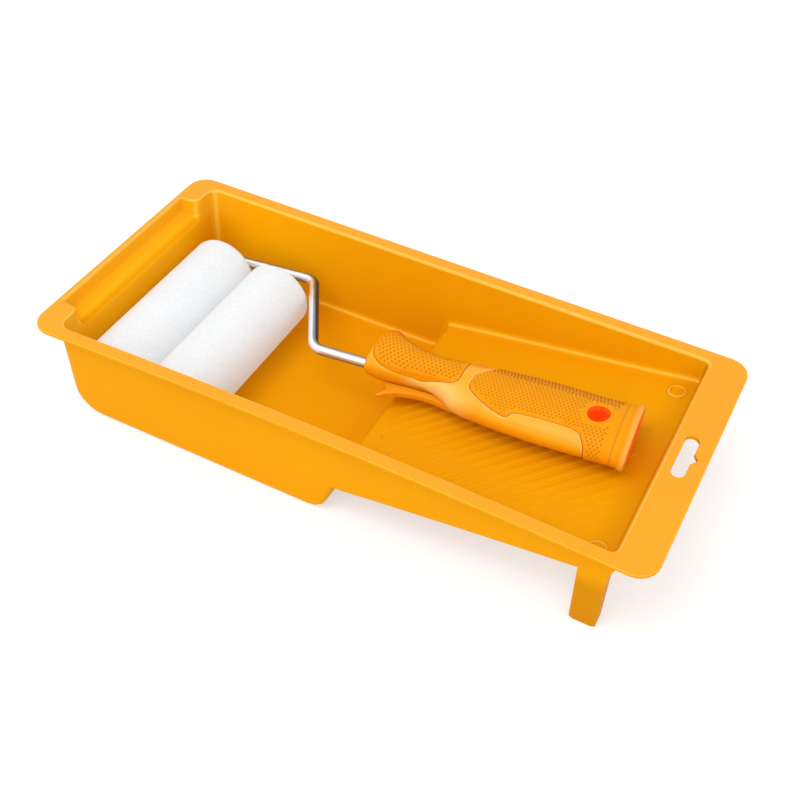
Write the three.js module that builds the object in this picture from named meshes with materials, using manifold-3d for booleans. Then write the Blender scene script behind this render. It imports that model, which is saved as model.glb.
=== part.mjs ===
// A mini paint roller tray with its roller frame and two 100 mm sleeves, in millimetres, +Z up.
// The origin is on the table under the middle of the rim. +X runs to the ramp end, +Y to the back.
import * as THREE from "three";
import { mergeVertices } from "three/addons/utils/BufferGeometryUtils.js";
import Module from "manifold-3d";

const wasm = await Module();
wasm.setup();

// General fits
const gap = 0.3; // between pieces that touch
const overrun = 4; // how far a cutter runs past what it cuts
const sink = 0.8; // how far a part of one moulding reaches into the next

// Tray moulding
const trayLength = 320;
const trayWidth = 147;
const trayHeight = 54.8;
const wall = 2.2;
const rimThickness = 2;
const rimCornerRadius = 10.5;
const rimEdgeRadius = 0.6;
const innerEdgeRadius = 1.3;
const edgeLead = 0.1; // share of that radius by which the cutter starts inside the cavity
const frontBow = 2.6; // the front rim is drawn in by this much at mid-length
const sideFlange = 7.2;
const leftFlange = 13.2;
const rightFlange = 18.6;
const sideDraft = 1.9; // how far each wall leans in from the rim to the floor
const endDraft = 0.7;
const leftFloorRadius = 11;
const sideFloorRadius = 3.5; // inside
const sideBottomRadius = 2; // outside
const leftCornerRadius = 5.5;
const stepFootX = -2;
const stepFootRadius = 8;
const stepTopX = 4;
const stepTopZ = 20.5;
const stepTopRadius = 2.5;
const rampEndZ = 40.5;
const rampEndRadius = 4;

// Brush rest, the shallow recess in the left end of the rim
const restFromSide = 16; // from the inside of the side walls to the rest's ends
const restDepth = 9.6;
const restRimWidth = 2.8;
const restLedgeDrop = 0.8;
const restWallRadius = 2.5;
const restEdgeRadius = 4.5;
const restEndDraft = 0.6;

// Hanging slot in the right flange
const slotLength = 27.6;
const slotWidth = 6.6;
const slotCentreFromEdge = 10.5;
const slotNotchDepth = 2.5;
const slotNotchWidth = 7;
const slotNotchTipRadius = 1;

// Roll-off ribs on the ramp
const ribPitch = 8;
const ribWidth = 3.2;
const ribHeight = 0.6;
const ribFieldFront = 48; // from the middle of the ramp
const ribFieldBack = 24;
const ribFieldStart = 8; // from the top of the step
const ribFieldEnd = 12; // from the foot of the end wall

// Moulded rings over the legs
const ringRadius = 4.4;
const ringWidth = 1.2;
const ringHeight = 0.5;
const ringFromEnd = 9.2;
const ringFromAxis = 55;

// Legs under the ramp end
const legWidth = 13.5;
const legDepth = 7;
const legWall = 2;
const legFromEnd = 3;
const legLean = 1.5;
const legTaper = 0.5;
const legInset = 0.4;
const legFootRadius = 3;

// Roller sleeves
const sleeveFromFront = 8.6; // from the foot of the front wall to the mounted sleeve
const sleeveFromArm = 7.4; // from that sleeve's far end to the middle of the wire's arm
const spareShift = 4.2; // the spare sleeve lies this much nearer the front
const napRadius = 18.8;
const napEndRadius = 3.6;
const tubeRadius = 8;
const tubeWall = 1.2;
const plugFlange = 1.3;
const plugLength = 9;
const plugWall = 1.3;
const hubRadius = 4.6;

// Wire frame
const rodRadius = 2.75;
const runClearance = 0.3; // between the rod and the bearings that spin on it
const armFromBack = 10.8; // from the foot of the back wall to the middle of the wire's arm
const armBendX = 53.4; // from the sleeve's axis to the bend at the arm's end
const neckBendX = 83;
const handleY = 2.7;
const cornerBendRadius = 6.5;
const armBendRadius = 9;
const neckBendRadius = 10;
const rodTipFromCap = 3.2;
const grooveDepth = 0.55;
const grooveWidth = 2.2;
const grooveFromTip = 4;
const shoulderRadius = 4.3;
const shoulderWidth = 1.6;
const shoulderFromSleeve = 0.6;
const rodInHandleShare = 0.451; // of the handle's length

// Handle
const handleFrontX = 115; // from the sleeve's axis, along the frame
const handleFromRampEnd = 14.5; // how far short of the ramp's end it would stop if it lay level
const handleHalfWidth = 18.8;
const handleHalfHeight = 9.6;
const gripThickness = 1.5;
const gripProud = 0.25;
const seam = 0.3;
const socketWall = 2.6;
const socketDepthShare = 0.3345; // of the handle's length
const hangHoleRadius = 5.4;
const hangHoleFromEnd = 16;
const endSlant = 0.08; // the rear end is cut a little aslant
const endSlantFrom = 0.9; // share of the length
const rimBead = 1;
const rimBeadWidth = 3.2;
const guardThickness = 3.6;
const guardTipThickness = 1.6;
const guardDrop = 2.6; // below the middle of the handle
const handleRingPoints = 30;

// The handle's sections, from its front end: place, sideways offset, half-width and half-height
const handleShares = [
  [0, 0.48, 0.7, 0.66],
  [0.01, 0.5, 0.77, 0.86],
  [0.025, 0.53, 0.8, 1],
  [0.045, 0.52, 0.82, 1.04],
  [0.07, 0.463, 0.765, 1.04],
  [0.1, 0.407, 0.7, 1.02],
  [0.145, 0.34, 0.605, 1],
  [0.19, 0.3, 0.54, 0.98],
  [0.25, 0.277, 0.51, 0.97],
  [0.3, 0.23, 0.56, 0.98],
  [0.33, 0.19, 0.65, 0.99],
  [0.36, 0.1375, 0.7675, 1],
  [0.41, 0.09, 0.86, 1],
  [0.47, 0.075, 0.9, 1.01],
  [0.53, 0.06, 0.94, 1.01],
  [0.61, 0.055, 0.98, 1.02],
  [0.69, 0.045, 1, 1.02],
  [0.77, 0.04, 1, 1],
  [0.86, 0.03, 0.985, 0.99],
  [0.94, 0.04, 0.985, 0.99],
  [1, 0.05, 1, 1],
];

// Edge of each soft grip on the finger side, as shares of the handle's length and half-width
const frontGripShares = [
  [0.352, 1.7],
  [0.368, 0.8],
  [0.375, 0.3],
  [0.378, 0],
  [0.372, -0.14],
  [0.353, -0.22],
  [0.303, -0.185],
  [0.246, -0.18],
  [0.19, -0.184],
  [0.135, -0.203],
  [0.094, -0.198],
  [0.059, -0.148],
  [0.03, 0.007],
  [0.014, 0.26],
  [0.009, 0.55],
  [0.009, 1],
  [0.02, 1.7],
];
const rearGripShares = [
  [1.1, -1.4],
  [0.885, -1.4],
  [0.88, -0.92],
  [0.867, -0.774],
  [0.852, -0.648],
  [0.832, -0.592],
  [0.782, -0.558],
  [0.722, -0.567],
  [0.624, -0.586],
  [0.603, -0.642],
  [0.5955, -0.737],
  [0.578, -0.737],
  [0.513, -0.613],
  [0.464, -0.45],
  [0.4276, -0.275],
  [0.4215, -0.067],
  [0.4225, 0.227],
  [0.446, 0.47],
  [0.5, 1.4],
  [1.1, 1.4],
];
// Outline of the finger guard, in the same shares
const guardShares = [
  [0.18, 0.1],
  [0.09, -0.1],
  [0.085, -0.33],
  [0.098, -0.5],
  [0.106, -0.66],
  [0.1, -0.8],
  [0.09, -0.9],
  [0.092, -0.96],
  [0.105, -0.95],
  [0.13, -0.85],
  [0.175, -0.74],
  [0.24, -0.64],
  [0.29, -0.635],
  [0.35, -0.68],
  [0.4, -0.7],
  [0.47, -0.66],
  [0.47, 0.1],
];

// Places worked out from the sizes above
const rimZ = trayHeight;
const floorZ = wall;
const halfLength = trayLength / 2;
const halfWidth = trayWidth / 2;
const innerHalf = halfWidth - sideFlange;
const leftWallX = -halfLength + leftFlange;
const rightWallX = halfLength - rightFlange;
const restWallX = -halfLength + restRimWidth;
const restHalf = innerHalf - restFromSide;
const rampFootX = rightWallX - endDraft * 2;
const rampSlope = (rampEndZ - stepTopZ) / (rampFootX - stepTopX);
const rampAngle = Math.atan(rampSlope);
const rampZ = (x) => stepTopZ + rampSlope * (x - stepTopX);
const bowHalf = halfLength - rimCornerRadius;
const bowAt = (x) => frontBow * Math.max(1 - (x / bowHalf) ** 2, 0);
const sleeveOneX = leftWallX + endDraft + napRadius + gap;
const sleeveTwoX = sleeveOneX + 2 * napRadius + gap;
const sleeveZ = floorZ + napRadius + gap;
const wallFootY = innerHalf - sideDraft;
const armY = wallFootY - armFromBack;
const sleeveOneEnd = armY - sleeveFromArm;
const sleeveTwoEnd = sleeveOneEnd - spareShift;
const sleeveLength = sleeveOneEnd + wallFootY - sleeveFromFront;
const handleLength = rampFootX - handleFromRampEnd - sleeveOneX - handleFrontX;
const rodInHandle = handleLength * rodInHandleShare;
const socketDepth = handleLength * socketDepthShare;

// Materials
const orange = new THREE.MeshStandardMaterial({ color: 0xffa51c, roughness: 0.32, metalness: 0 });
const chrome = new THREE.MeshStandardMaterial({ color: 0xd9dde2, roughness: 0.14, metalness: 1 });
const peach = new THREE.MeshStandardMaterial({ color: 0xffb54a, roughness: 0.3, metalness: 0 });
const amber = new THREE.MeshStandardMaterial({ color: 0xf79a1e, roughness: 0.55, metalness: 0 });
const nap = new THREE.MeshStandardMaterial({ color: 0xf8f8f9, roughness: 0.95, metalness: 0 });
const whitePlastic = new THREE.MeshStandardMaterial({ color: 0xf1f1ee, roughness: 0.5, metalness: 0 });

// Solids and meshes
function solid(geometry) {
  const bare = geometry.clone();
  bare.deleteAttribute("normal");
  bare.deleteAttribute("uv");
  const merged = mergeVertices(bare);
  const index = merged.index.array;
  return new wasm.Manifold(new wasm.Mesh({
    numProp: 3,
    vertProperties: new Float32Array(merged.attributes.position.array),
    triVerts: new Uint32Array(index),
  }));
}

function geometryOf(body) {
  const mesh = body.getMesh();
  const points = new Float32Array((mesh.vertProperties.length / mesh.numProp) * 3);
  for (let i = 0; i < points.length / 3; i++) {
    for (let k = 0; k < 3; k++) points[3 * i + k] = mesh.vertProperties[mesh.numProp * i + k];
  }
  const geometry = new THREE.BufferGeometry();
  geometry.setAttribute("position", new THREE.BufferAttribute(points, 3));
  geometry.setIndex(Array.from(mesh.triVerts));
  geometry.computeVertexNormals();
  return geometry;
}

function addPiece(parent, name, shape, material) {
  const geometry = shape.isBufferGeometry ? shape : geometryOf(shape);
  const mesh = new THREE.Mesh(geometry, material);
  mesh.name = name;
  parent.add(mesh);
  return mesh;
}

// Rings of equal size joined into one closed solid. Each cap is a list of index triples on its ring.
function loftSolid(rings, capTriangles) {
  const count = rings[0].length;
  const points = [];
  const faces = [];
  for (const ring of rings) for (const p of ring) points.push(p.x, p.y, p.z);
  for (let j = 0; j + 1 < rings.length; j++) {
    for (let i = 0; i < count; i++) {
      const a = j * count + i;
      const b = j * count + ((i + 1) % count);
      faces.push(a, b, b + count, a, b + count, a + count);
    }
  }
  const last = (rings.length - 1) * count;
  for (const [a, b, c] of capTriangles) {
    faces.push(c, b, a);
    faces.push(last + a, last + b, last + c);
  }
  const geometry = new THREE.BufferGeometry();
  geometry.setAttribute("position", new THREE.Float32BufferAttribute(points, 3));
  geometry.setIndex(faces);
  const body = solid(geometry);
  if (body.volume() > 0) return body;
  for (let i = 0; i < faces.length; i += 3) [faces[i], faces[i + 1]] = [faces[i + 1], faces[i]];
  geometry.setIndex(faces);
  return solid(geometry);
}

function fanCap(count) {
  const triangles = [];
  for (let i = 1; i + 1 < count; i++) triangles.push([0, i, i + 1]);
  return triangles;
}

function prism(points, depth, steps = 1) {
  const shape = new THREE.Shape(points);
  return new THREE.ExtrudeGeometry(shape, { depth, steps, bevelEnabled: false });
}

function arcPoints(centre, radius, from, to, steps) {
  const points = [];
  for (let i = 0; i <= steps; i++) {
    const angle = from + ((to - from) * i) / steps;
    points.push(new THREE.Vector2(centre.x + radius * Math.cos(angle), centre.y + radius * Math.sin(angle)));
  }
  return points;
}

// Side profile of the tray: a path down the left wall, along the floor and ramp, up the right wall
function offsetCorners(corners, distance) {
  const sides = [];
  for (let i = 0; i + 1 < corners.length; i++) {
    const dx = corners[i + 1].x - corners[i].x;
    const dy = corners[i + 1].y - corners[i].y;
    const length = Math.hypot(dx, dy);
    const normal = { x: -dy / length, y: dx / length };
    const start = { x: corners[i].x + normal.x * distance, y: corners[i].y + normal.y * distance };
    sides.push({ start, dx: dx / length, dy: dy / length });
  }
  const moved = [];
  for (let i = 0; i < corners.length; i++) {
    const before = sides[Math.max(i - 1, 0)];
    const after = sides[Math.min(i, sides.length - 1)];
    const cross = before.dx * after.dy - before.dy * after.dx;
    if (i === 0 || i === corners.length - 1) {
      const side = i === 0 ? after : before;
      const along = (corners[i].y - side.start.y) / side.dy;
      moved.push({ x: side.start.x + side.dx * along, y: corners[i].y, radius: 0 });
      continue;
    }
    const gapX = after.start.x - before.start.x;
    const gapY = after.start.y - before.start.y;
    const along = (gapX * after.dy - gapY * after.dx) / cross;
    const radius = corners[i].radius - distance * Math.sign(cross);
    moved.push({ x: before.start.x + before.dx * along, y: before.start.y + before.dy * along, radius });
  }
  return moved;
}

function roundCorner(before, corner, after, steps) {
  const inX = corner.x - before.x;
  const inY = corner.y - before.y;
  const outX = after.x - corner.x;
  const outY = after.y - corner.y;
  const turn = Math.atan2(inX * outY - inY * outX, inX * outX + inY * outY);
  const start = Math.atan2(inY, inX) - Math.sign(turn) * (Math.PI / 2);
  const reach = corner.radius * Math.tan(Math.abs(turn) / 2);
  const inLength = Math.hypot(inX, inY);
  const first = { x: corner.x - (inX / inLength) * reach, y: corner.y - (inY / inLength) * reach };
  const centre = {
    x: first.x - corner.radius * Math.cos(start),
    y: first.y - corner.radius * Math.sin(start),
  };
  return arcPoints(centre, corner.radius, start, start + turn, steps);
}

function between(a, b, count) {
  const points = [];
  for (let i = 1; i <= count; i++) {
    const share = i / (count + 1);
    points.push(new THREE.Vector2(a.x + (b.x - a.x) * share, a.y + (b.y - a.y) * share));
  }
  return points;
}

const cornerSteps = 3;
const headSteps = 4;
const napFacets = 36;
const plugFacets = 20;
const rodFacets = 14;

function sideProfile(distance, topZ) {
  const leftFoot = { x: leftWallX + endDraft, y: floorZ, radius: leftFloorRadius };
  const tail = [
    leftFoot,
    { x: stepFootX, y: floorZ, radius: stepFootRadius },
    { x: stepTopX, y: stepTopZ, radius: stepTopRadius },
    { x: rampFootX, y: rampEndZ, radius: rampEndRadius },
    { x: rightWallX, y: topZ, radius: 0 },
  ];
  const ledgeZ = rimZ - restDepth;
  const rest = offsetCorners([
    { x: restWallX, y: topZ, radius: 0 },
    { x: restWallX + endDraft / 2, y: ledgeZ, radius: restWallRadius },
    { x: leftWallX, y: ledgeZ - restLedgeDrop, radius: restEdgeRadius },
    ...tail,
  ], distance);
  const plain = offsetCorners([{ x: leftWallX, y: topZ, radius: 0 }, ...tail], distance);
  const restHead = [
    new THREE.Vector2(rest[0].x, rest[0].y),
    ...roundCorner(rest[0], rest[1], rest[2], headSteps),
    ...roundCorner(rest[1], rest[2], rest[3], headSteps),
  ];
  const wallLean = (plain[1].x - plain[0].x) / (plain[0].y - plain[1].y);
  const plainHead = restHead.map((p) => new THREE.Vector2(plain[0].x + (plain[0].y - p.y) * wallLean, p.y));
  const path = [];
  const arcs = [];
  for (let i = 1; i < plain.length - 1; i++) {
    arcs.push(roundCorner(plain[i - 1], plain[i], plain[i + 1], i === 1 ? 2 * cornerSteps : cornerSteps));
  }
  path.push(...arcs[0], ...between(arcs[0][arcs[0].length - 1], arcs[1][0], cornerSteps));
  path.push(...arcs[1], ...arcs[2]);
  path.push(...between(arcs[2][arcs[2].length - 1], arcs[3][0], cornerSteps + 1), ...arcs[3]);
  path.push(new THREE.Vector2(plain[plain.length - 1].x, plain[plain.length - 1].y));
  return { restHead, plainHead, path, leftCount: plainHead.length + arcs[0].length };
}

// Stations across the tray, from its middle to one side wall
function sideStations(distance) {
  const half = innerHalf + distance;
  const bevel = distance > 0 ? sideBottomRadius : sideFloorRadius;
  const corner = leftCornerRadius + distance;
  const end = restHalf + distance;
  const edge = restEdgeRadius - distance;
  const restSpan = leftWallX - restWallX;
  const stations = [
    { y: end, rest: 1, inset: 0, pull: 0 },
    { y: end + restEndDraft, rest: restEdgeRadius / restSpan, inset: 0, pull: 0 },
  ];
  for (let i = 1; i <= cornerSteps; i++) {
    const angle = ((Math.PI / 2) * i) / cornerSteps;
    const rest = (restEdgeRadius * (1 - Math.sin(angle))) / restSpan;
    stations.push({ y: end + restEndDraft + edge * (1 - Math.cos(angle)), rest, inset: 0, pull: 0 });
  }
  stations.push({ y: half - corner, rest: 0, inset: 0, pull: 0 });
  const pullAt = (y) => corner - Math.sqrt(Math.max(corner ** 2 - (y - half + corner) ** 2, 0));
  const middle = half - (corner + bevel) / 2;
  stations.push({ y: middle, rest: 0, inset: 0, pull: pullAt(middle) });
  const bevelSteps = cornerSteps + 1;
  for (let i = 0; i <= bevelSteps; i++) {
    const angle = ((Math.PI / 2) * i) / bevelSteps;
    const y = half - bevel + bevel * Math.sin(angle);
    const inset = bevel * (1 - Math.cos(angle));
    stations.push({ y, rest: 0, inset, pull: Math.max(pullAt(y) - inset, 0) });
  }
  return stations;
}

function leanAndBow(x, y, z, distance) {
  const half = innerHalf + distance;
  const depth = Math.max(rimZ - z, 0);
  const leanShare = 1 - ((sideDraft * depth) / (rimZ - floorZ)) / half;
  const bowShare = y < 0 ? (bowAt(x) * Math.min(z / rimZ, 1)) / half : 0;
  return y * (leanShare - bowShare);
}

function trayRing(station, y, distance, topZ) {
  const profile = sideProfile(station.inset - distance, topZ);
  const path = [];
  for (let i = 0; i < profile.plainHead.length; i++) {
    path.push(profile.plainHead[i].clone().lerp(profile.restHead[i], station.rest));
  }
  path.push(...profile.path);
  for (let i = 0; i < profile.leftCount; i++) path[i].x += station.pull;
  const ring = path.map((p) => new THREE.Vector3(p.x, leanAndBow(p.x, y, p.y, distance), p.y));
  for (let i = path.length - 2; i > 0; i--) {
    ring.push(new THREE.Vector3(path[i].x, leanAndBow(path[i].x, y, topZ, distance), topZ));
  }
  return { ring, count: path.length };
}

// The tray's space, grown outwards by a distance: 0 is the cavity, one wall is the outside
function traySpace(distance, topZ) {
  const side = sideStations(distance);
  const rings = [];
  for (let i = side.length - 1; i >= 0; i--) rings.push(trayRing(side[i], -side[i].y, distance, topZ));
  for (let i = 0; i < side.length; i++) rings.push(trayRing(side[i], side[i].y, distance, topZ));
  const count = rings[0].count;
  const total = rings[0].ring.length;
  const above = (i) => total - i;
  const cap = [[0, 1, above(1)]];
  for (let i = 1; i + 2 < count; i++) {
    cap.push([i, i + 1, above(i + 1)]);
    cap.push([i, above(i + 1), above(i)]);
  }
  cap.push([count - 2, count - 1, above(count - 2)]);
  return loftSolid(rings.map((r) => r.ring), cap);
}

// Outline of the cavity at the rim, going round the tray once
function rimContour() {
  const side = sideStations(0);
  const leftX = (s) => leftWallX + s.rest * (restWallX - leftWallX) + s.inset + s.pull;
  const left = [];
  for (const s of side) left.push(new THREE.Vector2(leftX(s), s.y));
  const right = [];
  for (const s of side) if (s.rest === 0) right.push(new THREE.Vector2(rightWallX - s.inset, s.y));
  const back = between(left[left.length - 1], right[right.length - 1], 2 * cornerSteps);
  const half = [...left, ...back, ...right.reverse()];
  const all = [...half, ...half.map((p) => new THREE.Vector2(p.x, -p.y)).reverse()];
  return all.map((p) => new THREE.Vector2(p.x, leanAndBow(p.x, p.y, rimZ, 0)));
}

// A cutter that rounds the cavity's upper edge
function rimEdgeCutter() {
  const contour = rimContour();
  const radius = innerEdgeRadius;
  const foot = -radius * (1 + edgeLead);
  const section = [{ d: -sink, z: foot }, { d: -radius * edgeLead, z: foot }];
  for (let i = 1; i <= cornerSteps; i++) {
    const angle = ((Math.PI / 2) * i) / cornerSteps;
    section.push({ d: radius * (1 - Math.cos(angle)), z: radius * (Math.sin(angle) - 1) });
  }
  section.push({ d: radius, z: sink }, { d: -sink, z: sink });
  const rings = contour.map((p, i) => {
    const before = contour[(i + contour.length - 1) % contour.length];
    const after = contour[(i + 1) % contour.length];
    const along = after.clone().sub(before).normalize();
    return section.map((s) => new THREE.Vector3(p.x - along.y * s.d, p.y + along.x * s.d, rimZ + s.z));
  });
  rings.push(rings[0]);
  return loftSolid(rings, []);
}

function rimPlate() {
  const inset = rimEdgeRadius;
  const outline = [];
  const radius = rimCornerRadius - inset;
  const x = halfLength - inset;
  const y = halfWidth - inset;
  const corners = [[x, y, 0], [-x, y, 1], [-x, -y, 2], [x, -y, 3]];
  for (const [cx, cy, quarter] of corners) {
    const centre = { x: cx - Math.sign(cx) * radius, y: cy - Math.sign(cy) * radius };
    const from = (quarter * Math.PI) / 2;
    outline.push(...arcPoints(centre, radius, from, from + Math.PI / 2, 2 * cornerSteps));
    if (quarter === 2) {
      const next = { x: -centre.x, y: -y };
      outline.push(...between(outline[outline.length - 1], next, 2 * cornerSteps));
    }
  }
  const bowed = outline.map((p) => {
    return new THREE.Vector2(p.x, p.y < 0 ? p.y + bowAt(p.x) : p.y);
  });
  const plate = new THREE.ExtrudeGeometry(new THREE.Shape(bowed), {
    depth: rimThickness - 2 * rimEdgeRadius,
    bevelEnabled: true,
    bevelThickness: rimEdgeRadius,
    bevelSize: rimEdgeRadius,
    bevelSegments: 2,
  });
  plate.translate(0, 0, rimZ - rimThickness + rimEdgeRadius);
  return solid(plate);
}

function slotCutter() {
  const straight = (slotLength - slotWidth) / 2;
  const half = slotWidth / 2;
  const tip = { x: half + slotNotchDepth - slotNotchTipRadius, y: 0 };
  const outline = [
    ...arcPoints({ x: 0, y: straight }, half, 0, Math.PI, 3 * cornerSteps),
    ...arcPoints({ x: 0, y: -straight }, half, Math.PI, 2 * Math.PI, 3 * cornerSteps),
    new THREE.Vector2(half, -slotNotchWidth / 2),
    ...arcPoints(tip, slotNotchTipRadius, -Math.PI / 3, Math.PI / 3, cornerSteps),
    new THREE.Vector2(half, slotNotchWidth / 2),
  ];
  const cutter = prism(outline, rimThickness + 2 * overrun);
  cutter.translate(halfLength - slotCentreFromEdge, 0, rimZ - rimThickness - overrun);
  return solid(cutter);
}

function tray() {
  const legs = wasm.Manifold.union([leg(-1), leg(1)]);
  const outside = traySpace(wall, rimZ - rimThickness / 2).add(rimPlate()).add(legs);
  const hollow = outside.subtract(traySpace(0, rimZ + overrun));
  const trimmed = hollow.subtract(rimEdgeCutter()).subtract(slotCutter());
  return trimmed.add(wasm.Manifold.union([...ribs(), ...rings()]));
}

// A leg is an open channel: a face in line with the side wall and two webs behind it
function leg(side) {
  const top = rampZ(rampFootX);
  const width = legWidth;
  const right = rightWallX + wall - legFromEnd;
  const outer = innerHalf + wall - legInset - (sideDraft * (rimZ - top)) / (rimZ - floorZ);
  const channel = [
    new THREE.Vector2(0, 0),
    new THREE.Vector2(width, 0),
    new THREE.Vector2(width, legDepth),
    new THREE.Vector2(width - legWall, legDepth),
    new THREE.Vector2(width - legWall, legWall),
    new THREE.Vector2(legWall, legWall),
    new THREE.Vector2(legWall, legDepth),
    new THREE.Vector2(0, legDepth),
  ];
  const post = prism(channel, top);
  const places = post.attributes.position;
  for (let i = 0; i < places.count; i++) {
    const low = 1 - places.getZ(i) / top;
    const x = places.getX(i) - width / 2;
    places.setX(i, x * (1 - (2 * legTaper * low) / width) + right - width / 2);
    places.setY(i, side * (outer - places.getY(i) - legLean * low));
  }
  if (side > 0) flipFaces(post);
  const foot = legFootRadius;
  const face = [
    ...arcPoints({ x: right - width + foot, y: foot }, foot, Math.PI, 1.5 * Math.PI, cornerSteps),
    ...arcPoints({ x: right - foot, y: foot }, foot, 1.5 * Math.PI, 2 * Math.PI, cornerSteps),
    new THREE.Vector2(right, top),
    new THREE.Vector2(right - width, top),
  ];
  const block = prism(face, trayWidth);
  block.rotateX(Math.PI / 2);
  block.translate(0, halfWidth, 0);
  return solid(post).intersect(solid(block));
}

function flipFaces(geometry) {
  const places = geometry.attributes.position.array;
  for (let i = 0; i < places.length; i += 9) {
    for (let k = 0; k < 3; k++) {
      [places[i + k], places[i + 3 + k]] = [places[i + 3 + k], places[i + k]];
    }
  }
}

// Low diagonal ribs, clipped to a rectangle on the ramp
function ribs() {
  const startX = stepTopX + ribFieldStart;
  const endX = rampFootX - ribFieldEnd;
  const section = [
    new THREE.Vector2(-ribWidth / 2, 0),
    new THREE.Vector2(-ribWidth / 4, ribHeight),
    new THREE.Vector2(ribWidth / 4, ribHeight),
    new THREE.Vector2(ribWidth / 2, 0),
    new THREE.Vector2(ribWidth / 2, -sink),
    new THREE.Vector2(-ribWidth / 2, -sink),
  ];
  const bars = [];
  const first = startX - ribFieldBack + ribPitch / 2;
  for (let shift = first; shift < endX + ribFieldFront; shift += ribPitch) {
    const from = Math.max(startX, shift - ribFieldFront);
    const to = Math.min(endX, shift + ribFieldBack);
    if (to - from < ribPitch) continue;
    const bar = prism(section, (to - from) * Math.SQRT2);
    bar.rotateX(Math.PI / 2);
    bar.rotateZ(Math.PI - Math.PI / 4);
    bar.translate(from, from - shift, 0);
    const places = bar.attributes.position;
    for (let i = 0; i < places.count; i++) places.setZ(i, places.getZ(i) + rampZ(places.getX(i)));
    bars.push(solid(bar));
  }
  return bars;
}

function rings() {
  return [-1, 1].map((side) => {
    const outer = ringRadius;
    const inner = ringRadius - ringWidth;
    const profile = [
      [outer, -sink], [outer, ringHeight / 2], [outer - ringWidth / 4, ringHeight],
      [inner + ringWidth / 4, ringHeight], [inner, ringHeight / 2], [inner, -sink], [outer, -sink],
    ];
    const ring = latheOf(profile, plugFacets);
    ring.rotateX(Math.PI / 2);
    ring.rotateY(-rampAngle);
    const x = rampFootX - ringFromEnd + (ringFromEnd - ringFromEnd * Math.cos(rampAngle));
    ring.translate(x, side * ringFromAxis, rampZ(x));
    return solid(ring);
  });
}

// A turned solid about the Y axis, from a profile of radius and height
function latheOf(profile, segments) {
  const points = profile.map(([r, y]) => new THREE.Vector2(r, y));
  return new THREE.LatheGeometry(points, segments);
}

// The parts of a sleeve lie along +Y from its near end, and a bush or cap has its flange at y = 0
const tubeLength = sleeveLength - 2 * (plugFlange + gap);

function napCover() {
  const inner = tubeRadius + gap;
  const profile = [];
  const ends = [0, sleeveLength];
  profile.push([inner, ends[0]], [napRadius - napEndRadius, ends[0]]);
  const near = arcPoints({ x: napRadius - napEndRadius, y: napEndRadius }, napEndRadius, -Math.PI / 2, 0, 4);
  const farY = sleeveLength - napEndRadius;
  const far = arcPoints({ x: napRadius - napEndRadius, y: farY }, napEndRadius, 0, Math.PI / 2, 4);
  for (const p of [...near.slice(1), ...far]) profile.push([p.x, p.y]);
  profile.push([inner, ends[1]], [inner, ends[0]]);
  return latheOf(profile, napFacets);
}

function coreTube() {
  const start = plugFlange + gap;
  const inner = tubeRadius - tubeWall;
  const end = start + tubeLength;
  const outer = tubeRadius;
  return latheOf([[inner, start], [outer, start], [outer, end], [inner, end], [inner, start]], plugFacets);
}

// The bush at the frame's side has a bearing bore right through
function bush() {
  const spigot = tubeRadius - tubeWall - gap;
  const bore = rodRadius + runClearance;
  const skirt = spigot - plugWall;
  return latheOf([
    [bore, 0], [tubeRadius, 0], [tubeRadius, plugFlange], [spigot, plugFlange], [spigot, plugLength],
    [skirt, plugLength], [skirt, 2 * plugFlange], [hubRadius, 2 * plugFlange], [hubRadius, plugLength],
    [bore, plugLength], [bore, 0],
  ], plugFacets);
}

// The cap at the free end is closed, and a bead in its bore snaps into the rod's groove
function cap() {
  const spigot = tubeRadius - tubeWall - gap;
  const bore = rodRadius + runClearance;
  const skirt = spigot - plugWall;
  const hubEnd = plugLength + grooveWidth;
  const bead = rodRadius - grooveDepth + runClearance;
  const beadY = rodTipFromCap + grooveFromTip + grooveWidth / 2;
  const beadHalf = grooveWidth / 2 - runClearance;
  return latheOf([
    [0, 0], [tubeRadius, 0], [tubeRadius, plugFlange], [spigot, plugFlange], [spigot, plugLength],
    [skirt, plugLength], [skirt, 2 * plugFlange], [hubRadius, 2 * plugFlange], [hubRadius, hubEnd],
    [bore, hubEnd], [bore, beadY + beadHalf], [bead, beadY], [bore, beadY - beadHalf],
    [bore, 2 * plugFlange], [0, 2 * plugFlange],
  ], plugFacets);
}

// A sleeve is laid with its closed cap at the near end and its bush at the far end
function addSleeve(parent, number, x, farY, z) {
  const nearY = farY - sleeveLength;
  const cover = addPiece(parent, `nap_cover_${number}`, napCover(), nap);
  const tube = addPiece(parent, `core_tube_${number}`, coreTube(), whitePlastic);
  const nearCap = addPiece(parent, `closed_end_cap_${number}`, cap(), whitePlastic);
  for (const piece of [cover, tube, nearCap]) piece.position.set(x, nearY, z);
  const farBush = addPiece(parent, `bearing_bush_${number}`, bush(), whitePlastic);
  farBush.rotation.z = Math.PI;
  farBush.position.set(x, farY, z);
}

// A path of straight runs and round bends, with a station at each end of a run and along each bend
class WirePath extends THREE.Curve {
  constructor(stations) {
    super();
    this.stations = stations;
  }
  getPoint(t) {
    const last = this.stations.length - 1;
    const place = Math.min(Math.max(t * last, 0), last);
    const i = Math.min(Math.floor(place), last - 1);
    return this.stations[i].point.clone().lerp(this.stations[i + 1].point, place - i);
  }
  getPointAt(u) {
    return this.getPoint(u);
  }
  getTangentAt(u) {
    const last = this.stations.length - 1;
    return this.stations[Math.round(u * last)].along.clone();
  }
}

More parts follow.
